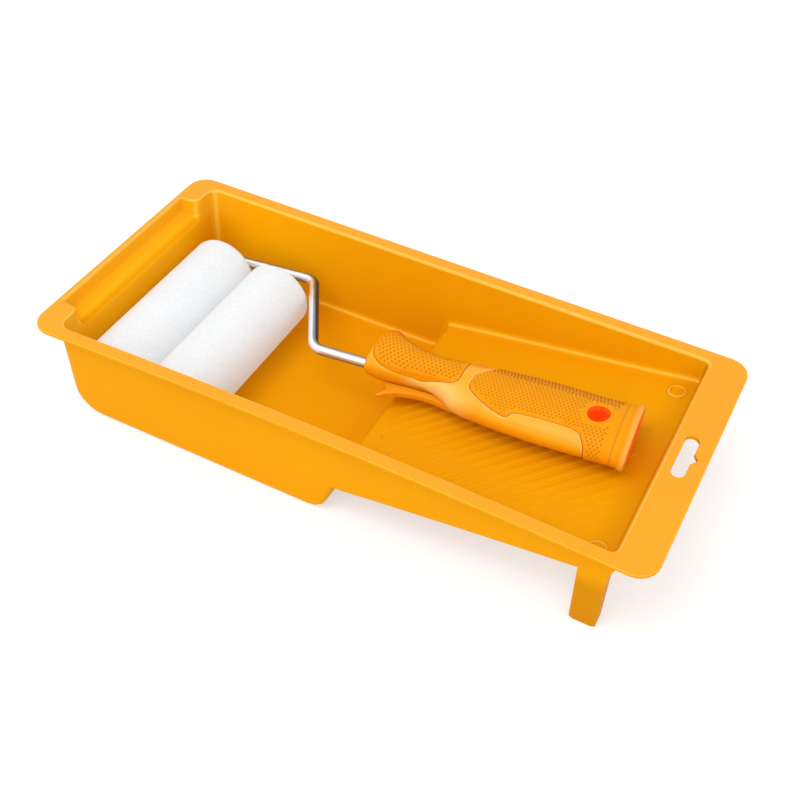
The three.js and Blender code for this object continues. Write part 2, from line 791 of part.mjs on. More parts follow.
function wireStations(corners) {
  const stations = [];
  const push = (p, dx, dy) => {
    const along = new THREE.Vector3(dx, dy, 0).normalize();
    stations.push({ point: new THREE.Vector3(p.x, p.y, 0), along });
  };
  const first = corners[0];
  const second = corners[1];
  push(first, second.x - first.x, second.y - first.y);
  for (let i = 1; i + 1 < corners.length; i++) {
    const [before, corner, after] = [corners[i - 1], corners[i], corners[i + 1]];
    const bend = roundCorner(before, corner, after, 2 * cornerSteps);
    const inward = Math.atan2(corner.y - before.y, corner.x - before.x);
    const outward = Math.atan2(after.y - corner.y, after.x - corner.x);
    const turn = Math.atan2(Math.sin(outward - inward), Math.cos(outward - inward));
    bend.forEach((p, k) => {
      const angle = inward + (turn * k) / (bend.length - 1);
      push(p, Math.cos(angle), Math.sin(angle));
    });
  }
  const [before, last] = corners.slice(-2);
  push(last, last.x - before.x, last.y - before.y);
  return stations;
}

function rodBody() {
  const nearY = sleeveOneEnd - sleeveLength;
  const tipY = nearY + rodTipFromCap;
  const corners = [
    { x: 0, y: tipY + rodRadius, radius: 0 },
    { x: 0, y: armY, radius: cornerBendRadius },
    { x: armBendX, y: armY, radius: armBendRadius },
    { x: neckBendX, y: handleY, radius: neckBendRadius },
    { x: handleFrontX + rodInHandle, y: handleY, radius: 0 },
  ];
  const stations = wireStations(corners);
  const rim = arcPoints({ x: 0, y: 0 }, rodRadius, 0, 2 * Math.PI, rodFacets);
  const circle = new THREE.Shape(rim.slice(0, -1));
  const wire = new THREE.ExtrudeGeometry(circle, {
    steps: stations.length - 1,
    extrudePath: new WirePath(stations),
    bevelEnabled: false,
  });
  const grooveY = grooveFromTip + grooveWidth / 2;
  const tip = latheOf([
    [0, 0], [rodRadius / 2, rodRadius / 8], [rodRadius - runClearance, rodRadius / 2],
    [rodRadius, rodRadius], [rodRadius, rodRadius + sink], [0, rodRadius + sink],
  ], rodFacets);
  tip.translate(0, tipY, 0);
  const ring = latheOf([
    [rodRadius + overrun, grooveY - grooveWidth / 2], [rodRadius + overrun, grooveY + grooveWidth / 2],
    [rodRadius, grooveY + grooveWidth / 2], [rodRadius - grooveDepth, grooveY],
    [rodRadius, grooveY - grooveWidth / 2], [rodRadius + overrun, grooveY - grooveWidth / 2],
  ], plugFacets);
  ring.translate(0, tipY, 0);
  const shoulderY = sleeveOneEnd + shoulderFromSleeve;
  const edge = shoulderWidth / 4;
  const shoulder = latheOf([
    [0, 0], [shoulderRadius - edge, 0], [shoulderRadius, edge], [shoulderRadius, shoulderWidth - edge],
    [shoulderRadius - edge, shoulderWidth], [0, shoulderWidth],
  ], plugFacets);
  shoulder.translate(0, shoulderY, 0);
  return solid(wire).add(solid(tip)).add(solid(shoulder)).subtract(solid(ring));
}

// Handle sections, interpolated between the stations and grown by a distance
function handleSection(share) {
  let i = 0;
  while (i + 2 < handleShares.length && handleShares[i + 1][0] < share) i++;
  const a = handleShares[i];
  const b = handleShares[i + 1];
  const t = (share - a[0]) / (b[0] - a[0]);
  return [1, 2, 3].map((k) => a[k] + (b[k] - a[k]) * t);
}

function handleRing(share, grow, slide = 0) {
  const [offset, wide, high] = handleSection(share);
  const x = handleFrontX + share * handleLength + slide;
  const ring = [];
  for (let i = 0; i < handleRingPoints; i++) {
    const angle = (2 * Math.PI * i) / handleRingPoints;
    const c = Math.cos(angle);
    const s = Math.sin(angle);
    const y = handleY + offset * handleHalfWidth + (wide * handleHalfWidth + grow) * c;
    const slant = endSlant * Math.max((share - endSlantFrom) / (1 - endSlantFrom), 0) * (y - handleY);
    ring.push(new THREE.Vector3(x - slant, y, (high * handleHalfHeight + grow) * s));
  }
  return ring;
}

function handleSpace(grow, from = 0, to = 1) {
  const rings = [];
  const shares = handleShares.map((row) => row[0]).filter((s) => s > from && s < to);
  const frontSlide = from === 0 ? -grow : 0;
  const rearSlide = to === 1 ? Math.max(grow, 0) : 0;
  rings.push(handleRing(from, grow, frontSlide));
  for (const share of shares) rings.push(handleRing(share, grow, frontSlide * (1 - share) ** 8));
  rings.push(handleRing(to, grow, rearSlide));
  return loftSolid(rings, fanCap(handleRingPoints));
}

function handleOutline(shares) {
  return shares.map(([along, across]) => new THREE.Vector2(
    handleFrontX + along * handleLength,
    handleY + across * handleHalfWidth,
  ));
}

// A prism through the whole handle, from an outline seen along the frame's normal
function throughHandle(outline, grow) {
  const tall = 2 * (handleHalfHeight + overrun);
  const block = grow > 0
    ? new THREE.ExtrudeGeometry(new THREE.Shape(outline), {
      depth: tall, bevelEnabled: true, bevelThickness: grow, bevelSize: grow, bevelSegments: 1,
    })
    : prism(outline, tall);
  block.translate(0, 0, -tall / 2);
  return solid(block);
}

function hangHole(radius) {
  const tall = 2 * (handleHalfHeight + overrun);
  const hole = new THREE.CylinderGeometry(radius, radius, tall, plugFacets);
  hole.rotateX(Math.PI / 2);
  const share = 1 - hangHoleFromEnd / handleLength;
  const y = handleY + handleSection(share)[0] * handleHalfWidth;
  hole.translate(handleFrontX + share * handleLength, y, 0);
  return solid(hole);
}

function rearSocket() {
  const from = 1 - socketDepth / handleLength;
  const rings = [from, (from + 1) / 2, 1].map((share) => handleRing(share, -socketWall));
  rings.push(handleRing(1, -socketWall, overrun));
  return loftSolid(rings, fanCap(handleRingPoints));
}

function rodBore() {
  const radius = rodRadius + gap;
  const length = rodInHandle + gap + overrun;
  const bore = new THREE.CylinderGeometry(radius, radius, length, plugFacets);
  bore.rotateZ(Math.PI / 2);
  bore.translate(handleFrontX - overrun + length / 2, handleY, 0);
  return solid(bore);
}

// The finger guard is a flat hooked web on the finger side, thinner at its tip
function fingerGuard() {
  const outline = handleOutline(guardShares);
  const web = prism(outline, 1, 1);
  const places = web.attributes.position;
  const tipY = Math.min(...outline.map((p) => p.y));
  const rootY = handleY - handleHalfWidth / 2;
  for (let i = 0; i < places.count; i++) {
    const share = Math.min(Math.max((rootY - places.getY(i)) / (rootY - tipY), 0), 1);
    const thick = guardThickness + (guardTipThickness - guardThickness) * share;
    places.setZ(i, (places.getZ(i) - 1 / 2) * thick - guardDrop);
  }
  return solid(web);
}

function gripShell(outline, grow, inner, outer) {
  return handleSpace(outer).subtract(handleSpace(-inner)).intersect(throughHandle(outline, grow));
}

function addHandle(parent) {
  const frontOutline = handleOutline(frontGripShares).reverse();
  const rearOutline = handleOutline(rearGripShares).reverse();
  const pocket = gripThickness + seam;
  const cuts = [frontOutline, rearOutline].map((o) => gripShell(o, seam, pocket, overrun / 2));
  const body = handleSpace(0).add(fingerGuard()).subtract(wasm.Manifold.union(cuts));
  const core = body.subtract(rodBore()).subtract(rearSocket()).subtract(hangHole(hangHoleRadius));
  addPiece(parent, "handle_core", core, peach);
  const front = gripShell(frontOutline, 0, gripThickness, gripProud);
  addPiece(parent, "front_grip", front, amber);
  const mouth = handleSpace(overrun, 1 - rimBeadWidth / handleLength, 1);
  const bead = handleSpace(gripProud + rimBead).intersect(mouth);
  const rear = gripShell(rearOutline, 0, gripThickness, gripProud).add(
    bead.subtract(handleSpace(-gripThickness)),
  );
  const trimmed = rear.subtract(rearSocket()).subtract(hangHole(hangHoleRadius));
  addPiece(parent, "rear_grip", trimmed, amber);
}

// The frame leans so that the handle's rear end lies on the ribs of the ramp
function frameTilt() {
  const rearX = handleFrontX + handleLength;
  const low = handleHalfHeight + gripProud + rimBead;
  let tilt = rampAngle;
  for (let i = 0; i < 24; i++) {
    const x = sleeveOneX + rearX * Math.cos(tilt) + low * Math.sin(tilt);
    const rest = rampZ(x) + (ribHeight + gap) / Math.cos(rampAngle);
    tilt = Math.asin((rest + low * Math.cos(tilt) - sleeveZ) / rearX);
  }
  return tilt;
}

const model = new THREE.Group();
addPiece(model, "tray", tray(), orange);
addSleeve(model, 1, sleeveOneX, sleeveOneEnd, sleeveZ);
addSleeve(model, 2, sleeveTwoX, sleeveTwoEnd, sleeveZ);
const frame = new THREE.Group();
frame.position.set(sleeveOneX, 0, sleeveZ);
frame.rotation.y = -frameTilt();
model.add(frame);
addPiece(frame, "frame_rod", rodBody(), chrome);
addHandle(frame);

export default model;
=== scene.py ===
# Dresses the paint tray, its roller frame and its two sleeves. Lengths in the dictionaries are in
# millimetres, but in the materials, the stage and the camera they are in metres.
import math
import bmesh
import bpy
import numpy as np
from mathutils import Matrix, Vector


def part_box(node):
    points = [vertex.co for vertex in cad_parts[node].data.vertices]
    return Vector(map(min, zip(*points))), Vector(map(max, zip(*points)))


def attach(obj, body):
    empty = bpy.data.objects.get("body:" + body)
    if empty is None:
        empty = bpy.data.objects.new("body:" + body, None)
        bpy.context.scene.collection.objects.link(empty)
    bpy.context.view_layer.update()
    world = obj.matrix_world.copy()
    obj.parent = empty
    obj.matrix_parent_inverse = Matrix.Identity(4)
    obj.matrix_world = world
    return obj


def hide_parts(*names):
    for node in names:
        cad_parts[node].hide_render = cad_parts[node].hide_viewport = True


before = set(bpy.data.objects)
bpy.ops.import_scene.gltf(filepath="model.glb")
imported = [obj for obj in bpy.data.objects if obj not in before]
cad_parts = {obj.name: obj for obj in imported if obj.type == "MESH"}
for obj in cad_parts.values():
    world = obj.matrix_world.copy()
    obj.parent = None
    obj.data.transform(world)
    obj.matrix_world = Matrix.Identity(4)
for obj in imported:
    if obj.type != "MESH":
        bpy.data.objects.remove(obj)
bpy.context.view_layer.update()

mm = 0.001


# Shader sockets with arithmetic
class Field:
    def __init__(self, sheet, socket):
        self.sheet = sheet
        self.socket = socket

    def maths(self, operation, first, second):
        return self.sheet.add("ShaderNodeMath", {"operation": operation}, {0: first, 1: second})

    def __add__(self, other):
        return self.maths("ADD", self, other)

    def __radd__(self, other):
        return self.maths("ADD", other, self)

    def __sub__(self, other):
        return self.maths("SUBTRACT", self, other)

    def __rsub__(self, other):
        return self.maths("SUBTRACT", other, self)

    def __mul__(self, other):
        return self.maths("MULTIPLY", self, other)

    def __rmul__(self, other):
        return self.maths("MULTIPLY", other, self)

    def __truediv__(self, other):
        return self.maths("DIVIDE", self, other)

    def __pow__(self, other):
        return self.maths("POWER", self, other)


class Sheet:
    def __init__(self, tree, material=None):
        self.tree = tree
        self.material = material

    def feed(self, node, sockets):
        for key, value in sockets.items():
            if isinstance(value, Field):
                self.tree.links.new(value.socket, node.inputs[key])
            else:
                node.inputs[key].default_value = value

    # Settings go in first, then the values or links of the sockets
    def add(self, kind, settings=None, sockets=None, output=0):
        node = self.tree.nodes.new(kind)
        for key, value in (settings or {}).items():
            setattr(node, key, value)
        self.feed(node, sockets or {})
        return Field(self, node.outputs[output])

    def dress(self, sockets):
        self.feed(self.tree.nodes["Principled BSDF"], sockets)
        return self.material

    def place(self):
        return self.add("ShaderNodeTexCoord", output="Object")

    def noise(self, scale, detail=2.0, roughness=0.5, vector=None):
        vector = vector or self.place()
        sockets = {"Vector": vector, "Scale": scale, "Detail": detail, "Roughness": roughness}
        return self.add("ShaderNodeTexNoise", {}, sockets)

    # Rises from 0 to 1 over the first two levels and falls over the next two, where there are any
    def span(self, value, levels):
        sockets = {"Value": value, "From Min": levels[0], "From Max": levels[1]}
        first = self.add("ShaderNodeMapRange", {"interpolation_type": "SMOOTHSTEP"}, sockets)
        return first if len(levels) == 2 else first - self.span(value, levels[2:])

    def absolute(self, value):
        return self.add("ShaderNodeMath", {"operation": "ABSOLUTE"}, {0: value})

    def parts(self, vector):
        return {axis: self.add("ShaderNodeSeparateXYZ", {}, {"Vector": vector}, axis) for axis in "XYZ"}

    def attribute(self, name, kind):
        return self.add("GeometryNodeInputNamedAttribute", {"data_type": kind}, {"Name": name})

    # The colours' sockets are 6 and 7, and 2 among the outputs
    def blend(self, share, first, second):
        pair = [colour if isinstance(colour, Field) else (*colour, 1.0) for colour in (first, second)]
        sockets = {0: share, 6: pair[0], 7: pair[1]}
        return self.add("ShaderNodeMix", {"data_type": "RGBA"}, sockets, 2)

    # Lays each colour over those before it by its share
    def layers(self, tone, *pairs):
        for share, colour in pairs:
            tone = self.blend(share, tone, colour)
        return tone

    def normalParts(self):
        return self.parts(self.add("ShaderNodeNewGeometry", output="Normal"))

    def bump(self, height, strength, distance):
        sockets = {"Height": height, "Strength": strength, "Distance": distance}
        return self.add("ShaderNodeBump", {}, sockets)


def newMaterial(name, viewColour):
    material = bpy.data.materials.new(name)
    material.use_nodes = True
    material.diffuse_color = (*viewColour, 1.0)
    return Sheet(material.node_tree, material)


# Light enters an orange moulding a little way, its red part furthest
def letThrough(weight, depth):
    parts = (1.0, 0.35, 0.02)
    return {"Subsurface Weight": weight, "Subsurface Radius": parts, "Subsurface Scale": depth * mm}


# Colours are linear
trayLook = {
    "colour": (0.74, 0.3, 0.0012), "deep": (0.71, 0.283, 0.001), "shade": (0.57, 0.222, 0.001),
    "creaseHighlight": (0.93, 0.5, 0.06), "lipHighlight": (0.92, 0.52, 0.12), "black": (0.0, 0.0, 0.0),
    "wallGlow": (0.03, 0.03, 0.0), "wellGlow": (0.15, 0.075, 0.0), "floorGlow": (0.04, 0.01, 0.0),
    "restGlow": (0.13, 0.088, 0.006), "endGlow": (0.07, 0.035, 0.0), "roughness": 0.34, "grain": 1400.0,
    "grainDepth": 0.03 * mm, "mottle": 22.0, "flow": (20.0, 160.0, 160.0), "sheen": 0.6,
    "wallLean": 0.035, "ringX": 0.1309, "ringY": 0.055, "ringRadius": 0.0041, "inwardGain": 16.0,
    "rampShare": 0.45, "ringShare": 0.5, "footShare": 0.6, "creaseShare": 0.7, "edgeShare": 0.55,
}
# Where each tone sets in and is full: places, or parts of the normal
traySpans = {
    "mottle": (0.35, 0.7), "streak": (0.4, 0.75), "inward": (0.3, 0.9), "well": (-0.04, -0.13),
    "lowFloor": (0.02, 0.006), "floorFacing": (0.8, 0.95), "within": (0.0658, 0.065),
    "belowRim": (0.0542, 0.053), "leftEnd": (-0.12, -0.138), "pastWall": (-0.1471, -0.1476),
    "underRest": (0.0447, 0.0439), "rest": (0.036, 0.045), "legs": (0.1, 0.104), "legTops": (0.037, 0.025),
    "endWall": (0.12, 0.135), "endFacing": (-0.4, -0.8), "rampEnd": (0.122, 0.139),
    "rampFacing": (0.5, 0.8), "ringTop": (-0.0006, -0.0002, 0.0002, 0.0006),
    "ringFoot": (0.0003, 0.0007, 0.0009, 0.0016), "sideways": (0.35, 0.5), "creaseHighlight": (0.5, 0.68, 0.8, 0.92),
    "corner": (0.3, 0.5, 0.66, 0.82), "upright": (0.3, 0.2), "cornerPlace": (-0.1, -0.11),
    "rounded": (0.15, 0.5, 0.93, 0.985), "rimEdge": (0.0525, 0.0532), "flat": (0.985, 0.998),
    "rimTop": (0.05, 0.053),
}


# Painted light: a faint emitted glow inside the tray lightens its walls, well floor, left end and rest
# where shade falls, standing in for light through its thin wall. The flat rim has a sheen
def trayPlastic():
    look = trayLook
    sheet = newMaterial("trayPlastic", look["colour"])
    grain = sheet.noise(look["grain"])
    flow = sheet.add("ShaderNodeMapping", {}, {"Vector": sheet.place(), "Scale": look["flow"]})
    here = sheet.parts(sheet.place())
    facing = sheet.normalParts()
    across = sheet.absolute(here["Y"])

    def on(name, value):
        return sheet.span(value, traySpans[name])

    mottle = on("mottle", sheet.noise(look["mottle"], 4.0))
    streak = on("streak", sheet.noise(3.0, 3.0, 0.6, flow))
    inside = on("within", across - here["Z"] * look["wallLean"]) * on("belowRim", here["Z"])
    onFloor = on("lowFloor", here["Z"]) * on("floorFacing", facing["Z"])
    inward = on("inward", 0 - facing["Y"] * here["Y"] * look["inwardGain"])
    outer = on("pastWall", here["X"]) * on("underRest", here["Z"])
    # Painted light: the glow on the low floor, on the walls facing inward and at the left end and its rest
    glow = sheet.layers(
        look["black"],
        (onFloor, look["floorGlow"]),
        (inward, sheet.blend(on("well", here["X"]), look["wallGlow"], look["wellGlow"])),
        (on("leftEnd", here["X"]) * inside * (1 - outer),
         sheet.blend(on("rest", here["Z"]), look["endGlow"], look["restGlow"])),
    )
    # Painted shade: the end wall, the legs and the end of the ramp, which turn away from the lamps, are
    # painted darker
    legs = on("legs", here["X"]) * on("legTops", here["Z"])
    endWall = on("endWall", here["X"]) * on("endFacing", facing["X"])
    rampEnd = on("rampEnd", here["X"]) * on("rampFacing", facing["Z"]) * inside
    # Painted highlight on the two moulded rings' tops and painted shadow just outside them
    aside, ahead = here["X"] - look["ringX"], across - look["ringY"]
    reach = (aside * aside + ahead * ahead) ** 0.5 - look["ringRadius"]
    low = on("belowRim", here["Z"])
    # Painted highlights: narrow bright lines along the creases, in the well's corners and along the rim's
    # inner edge
    creaseHighlight = on("creaseHighlight", facing["Z"]) * on("sideways", sheet.absolute(facing["Y"])) * inside
    corner = on("corner", facing["X"]) * on("upright", facing["Z"]) * on("cornerPlace", here["X"])
    rimEdge = on("rounded", facing["Z"]) * on("rimEdge", here["Z"])
    tone = sheet.layers(
        look["colour"],
        (mottle * 0.5 + streak * 0.2, look["deep"]),
        (legs + endWall + rampEnd * look["rampShare"], look["shade"]),
        (on("ringTop", reach) * low * look["ringShare"], look["creaseHighlight"]),
        (on("ringFoot", reach) * low * look["footShare"], look["shade"]),
        (creaseHighlight * look["creaseShare"], look["creaseHighlight"]),
        (corner * inside * look["edgeShare"], look["creaseHighlight"]),
        (rimEdge * look["edgeShare"], look["lipHighlight"]),
    )
    return sheet.dress({
        "Base Color": tone,
        "Roughness": look["roughness"] + streak * 0.06 + grain * 0.05,
        "Normal": sheet.bump(grain, 0.35, look["grainDepth"]),
        "Specular IOR Level": 0.02,
        "Coat Weight": on("flat", facing["Z"]) * on("rimTop", here["Z"]) * look["sheen"],
        "Coat Roughness": 0.3,
        "Emission Color": glow,
        "Emission Strength": 1.0,
    })


chromeLook = {
    "bright": (0.9, 0.91, 0.93), "middle": (0.3, 0.33, 0.4), "dark": (0.06, 0.065, 0.09),
    "roughness": 0.16, "draw": 900.0, "drawDepth": 0.01 * mm, "metal": 0.75, "haze": (0.4, 0.75),
    "upward": 0.45, "aside": 0.7, "back": 0.5, "slate": (-0.05, 0.4), "shine": (0.5, 0.68),
}


# Painted reflection: the wire is coloured bright where it faces the lamps overhead, slate and then dark
# where it turns down
def chromePlate():
    look = chromeLook
    sheet = newMaterial("chromePlate", look["bright"])
    haze = sheet.span(sheet.noise(160.0, 4.0), look["haze"])
    pits = sheet.noise(look["draw"], 3.0, 0.6)
    facing = sheet.normalParts()
    level = facing["Z"] * look["upward"] - facing["X"] * look["aside"] - facing["Y"] * look["back"]
    level = level + haze * 0.04
    lower = sheet.blend(sheet.span(level, look["slate"]), look["dark"], look["middle"])
    return sheet.dress({
        "Base Color": sheet.blend(sheet.span(level, look["shine"]), lower, look["bright"]),
        "Metallic": look["metal"],
        "Roughness": look["roughness"] + haze * 0.08,
        "Normal": sheet.bump(pits, 0.25, look["drawDepth"]),
    })


handleLook = {
    "top": (0.75, 0.34, 0.006), "side": (0.75, 0.285, 0.002), "edge": (0.76, 0.3, 0.006),
    "guard": (0.74, 0.27, 0.006), "guardUnderShade": (0.75, 0.23, 0.006), "inside": (0.6, 0.06, 0.003),
    "insideDeep": (0.68, 0.09, 0.005), "glow": (0.62, 0.055, 0.001), "glowDeep": (0.72, 0.08, 0.002),
    "far": (0.74, 0.15, 0.025), "lipHighlight": (0.8, 0.5, 0.18), "waistHighlight": (0.87, 0.57, 0.17), "roughness": 0.3,
    "coat": 0.2, "turnedDown": (0.75, 0.1), "under": (0.05, -0.7), "near": (-0.1, -0.7),
    "waist": (0.006, 0.02, 0.03, 0.054), "backward": (0.28, 0.55), "seamLip": (0.15, 0.4, 0.7, 1.0),
    "rearSeam": (0.024, 0.034),
}


# Painted light and shade: lighter on top and darker where it turns down and under, a painted highlight at
# the waist, a painted red tint along its far side for light through the thin edge, and a painted highlight
# on the lip beside the rear grip
def handlePlastic(name, top, side, edge, waistHighlightShare):
    look = handleLook
    sheet = newMaterial(name, look[top])
    facing = sheet.normalParts()
    along = sheet.parts(sheet.place())["X"]
    cloud = sheet.noise(45.0, 3.0)
    waist = sheet.span(along, look["waist"]) * sheet.span(facing["Y"], look["near"])
    seam = sheet.add("ShaderNodeAttribute", {"attribute_name": "seam"}, output="Fac")
    lipHighlightMask = sheet.span(seam, look["seamLip"]) * sheet.span(along, look["rearSeam"])
    tone = sheet.layers(
        look[top],
        (sheet.span(facing["Z"], look["turnedDown"]), look[side]),
        (sheet.span(facing["Z"], look["under"]), look[edge]),
        (waist * waistHighlightShare, look["waistHighlight"]),
        (sheet.span(facing["Y"], look["backward"]) * 0.9, look["far"]),
        (lipHighlightMask * 0.75, look["lipHighlight"]),
        (cloud * 0.2, look[side]),
    )
    return sheet.dress({
        "Base Color": tone,
        "Roughness": look["roughness"] + cloud * 0.08,
        "Normal": sheet.bump(sheet.noise(900.0), 0.2, 0.03 * mm),
        "Specular IOR Level": 0.15,
        "Coat Weight": look["coat"],
        "Coat Roughness": 0.28,
        **letThrough(0.2, 2),
    })


# Painted light and shade: the socket's and hole's inner faces are painted a deeper red and glow a little,
# for light reaching them through the wall
def handleInside():
    look = handleLook
    sheet = newMaterial("handleInside", look["inside"])
    cloud = sheet.noise(120.0)
    return sheet.dress({
        "Base Color": sheet.blend(cloud, look["inside"], look["insideDeep"]),
        "Roughness": 0.35 + cloud * 0.1,
        "Emission Color": sheet.blend(cloud, look["glow"], look["glowDeep"]),
        "Emission Strength": 0.55,
        "Subsurface Weight": 0.2,
        "Subsurface Scale": 2 * mm,
    })


gripLook = {
    "colour": (0.74, 0.265, 0.0015), "deep": (0.72, 0.238, 0.0015), "far": (0.6, 0.14, 0.02),
    "thumb": (0.85, 0.13, 0.008), "lipHighlight": (0.84, 0.42, 0.14), "stud": (0.44, 0.165, 0.004),
    "sideStudShade": (0.4, 0.125, 0.008), "roughness": 0.42, "grain": 1700.0, "cloud": (0.35, 0.7),
    "thumbAside": (0.016, 0.025), "thumbAlong": (0.012, 0.0), "backward": (0.42, 0.72), "endSlant": 0.08,
    "groove": (0.1178, 0.1182, 0.1186, 0.119), "endLipHighlight": (0.1225, 0.1245),
}


# Painted light and shade: a brown pink tint along its far side and a red glow at the thumb's bulge, for
# light through the thin edge, a painted dark line for the groove's shade, and a painted highlight on the
# lip at the rear end
def gripPlastic():
    look = gripLook
    sheet = newMaterial("gripPlastic", look["colour"])
    backward = sheet.normalParts()["Y"]
    here = sheet.parts(sheet.place())
    grain = sheet.noise(look["grain"])
    cloud = sheet.span(sheet.noise(60.0, 3.0), look["cloud"])
    thumb = sheet.span(here["Y"], look["thumbAside"]) * sheet.span(here["X"], look["thumbAlong"])
    end = here["X"] + here["Y"] * look["endSlant"]
    tone = sheet.layers(
        look["colour"],
        (cloud * 0.4, look["deep"]),
        (sheet.span(backward, look["backward"]) * 0.8, look["far"]),
        (sheet.span(end, look["groove"]) * 0.6, look["stud"]),
        (sheet.span(end, look["endLipHighlight"]) * 0.4, look["lipHighlight"]),
        (thumb * 0.85, look["thumb"]),
    )
    return sheet.dress({
        "Base Color": tone,
        "Roughness": look["roughness"] + grain * 0.12,
        "Normal": sheet.bump(grain, 0.35, 0.04 * mm),
        "Specular IOR Level": 0.06,
        **letThrough(0.15, 1.5),
    })


# Painted shade: the studs are coloured a dark brown, standing in for the shade round each raised stud
def studPlastic(name, colour):
    sheet = newMaterial(name, colour)
    cloud = sheet.noise(200.0)
    paler = tuple(min(part * 1.25, 1.0) for part in colour)
    return sheet.dress({
        "Base Color": sheet.blend(cloud, colour, paler),
        "Roughness": gripLook["roughness"] + cloud * 0.1,
        "Specular IOR Level": 0.08,
    })


napLook = {
    "colour": (0.475, 0.5, 0.525), "dip": (0.43, 0.455, 0.478), "glow": (0.315, 0.302, 0.29),
    "tuft": 900.0, "tuftDepth": 0.2 * mm, "dips": (0.45, 1.0),
}


# Painted light: the pile's base colour is a little blue and it glows warm, which brightens it evenly and
# offsets the orange light thrown back from the tray. It is darker in the dips between tufts
def napFibre():
    look = napLook
    sheet = newMaterial("napFibre", look["colour"])
    tufts = sheet.add("ShaderNodeTexVoronoi", {}, {"Vector": sheet.place(), "Scale": look["tuft"]})
    fuzz = sheet.noise(2600.0, 3.0, 0.7)
    lay = sheet.noise(70.0, 3.0)
    height = (1 - tufts) * 0.6 + fuzz * 0.5 + lay * 0.4
    dips = sheet.span(tufts + lay * 0.3, look["dips"])
    dimmer = tuple(part * 0.95 for part in look["glow"])
    return sheet.dress({
        "Base Color": sheet.blend(dips, look["colour"], look["dip"]),
        "Roughness": 0.92 + fuzz * 0.08,
        "Normal": sheet.bump(height, 0.5, look["tuftDepth"]),
        "Specular IOR Level": 0.2,
        "Sheen Weight": 0.15,
        "Sheen Roughness": 0.5,
        "Emission Color": sheet.blend(lay, look["glow"], dimmer),
        "Emission Strength": 1.0,
    })


whiteLook = {"view": (0.85, 0.85, 0.84), "colour": (0.72, 0.72, 0.715), "deep": (0.66, 0.66, 0.655)}


def whitePlastic():
    look = whiteLook
    sheet = newMaterial("whitePlastic", look["view"])
    cloud = sheet.noise(90.0, 3.0)
    return sheet.dress({
        "Base Color": sheet.blend(cloud, look["colour"], look["deep"]),
        "Roughness": 0.42 + cloud * 0.1,
        "Normal": sheet.bump(sheet.noise(1500.0), 0.25, 0.03 * mm),
        "Subsurface Weight": 0.15,
        "Subsurface Scale": 1.5 * mm,
    })


finishes = {
    "tray": trayPlastic(), "chrome": chromePlate(), "inside": handleInside(), "grip": gripPlastic(),
    "handle": handlePlastic("handlePlastic", "top", "side", "edge", 0.9),
    # The guard is the handle's plastic painted darker: painted shade under the body
    "guard": handlePlastic("guardShadedPlastic", "guard", "guard", "guardUnderShade", 0.0),
    "stud": studPlastic("gripStudShade", gripLook["stud"]),
    "sideStudShade": studPlastic("gripSideStudShade", gripLook["sideStudShade"]),
    "nap": napFibre(), "white": whitePlastic(),
}
print("finishes made")


# Mesh helpers
def setMaterials(mesh, materials):
    mesh.materials.clear()
    for material in materials:
        mesh.materials.append(material)


def newPiece(name, data, *materials):
    piece = bpy.data.objects.new(name, data)
    bpy.context.scene.collection.objects.link(piece)
    if materials:
        setMaterials(data, materials)
    return piece


def meshFrom(name, points, faces):
    mesh = bpy.data.meshes.new(name)
    mesh.from_pydata([tuple(p) for p in points], [], faces)
    mesh.validate()
    mesh.update()
    return mesh


def pointsOf(mesh):
    points = np.zeros(len(mesh.vertices) * 3)
    mesh.vertices.foreach_get("co", points)
    return points.reshape(-1, 3)


def reshape(mesh, change):
    shape = bmesh.new()
    shape.from_mesh(mesh)
    change(shape)
    shape.to_mesh(mesh)
    shape.free()
    return mesh


def smoothShade(mesh, sharpDegrees):
    mesh.polygons.foreach_set("use_smooth", [True] * len(mesh.polygons))
    mesh.set_sharp_from_angle(angle=math.radians(sharpDegrees))


# The modifiers' result as the piece's own plain mesh
def settle(piece):
    shape = piece.evaluated_get(bpy.context.evaluated_depsgraph_get())
    mesh = bpy.data.meshes.new_from_object(shape)
    old = piece.data
    piece.modifiers.clear()
    piece.data = mesh
    bpy.data.meshes.remove(old)
    return piece


def combine(piece, operation, tool):
    step = piece.modifiers.new("combine", "BOOLEAN")
    step.operation = operation
    step.solver = "MANIFOLD"
    step.object = tool
    settle(piece)
    mesh = tool.data
    bpy.data.objects.remove(tool)
    bpy.data.meshes.remove(mesh)
    return piece


def cut(piece, tool):
    return combine(piece, "DIFFERENCE", tool)


def seat(piece, body, slotName, *nodes):
    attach(piece, body)
    if nodes:
        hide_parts(*nodes)
    return piece


# A copy of a CAD node with its corners joined, so that its curves shade smoothly
def smoothCopy(node, body, slotName, material, sharpDegrees):
    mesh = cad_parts[node].data.copy()
    for layer in ("custom_normal", "sharp_edge", "sharp_face"):
        if layer in mesh.attributes:
            mesh.attributes.remove(mesh.attributes[layer])
    reshape(mesh, lambda shape: bmesh.ops.remove_doubles(shape, verts=shape.verts, dist=0.002 * mm))
    smoothShade(mesh, sharpDegrees)
    piece = newPiece(f"{node}_moulding", mesh, material)
    even = piece.modifiers.new("even normals", "WEIGHTED_NORMAL")
    even.keep_sharp = True
    return seat(piece, body, slotName, node)


# The ramp's plane and its roll-off ribs, which are low and all but vanish towards the end wall
ramp = {
    "startX": 4, "startZ": 20.5, "endX": 140, "endZ": 40.5, "half": 49.5, "ribsFrom": 7, "ribsTo": 134,
    "riseFrom": 0.06, "riseTo": 1.0, "low": 0.8, "faint": 0.3, "fadeFrom": 78, "fadeTo": 100,
}


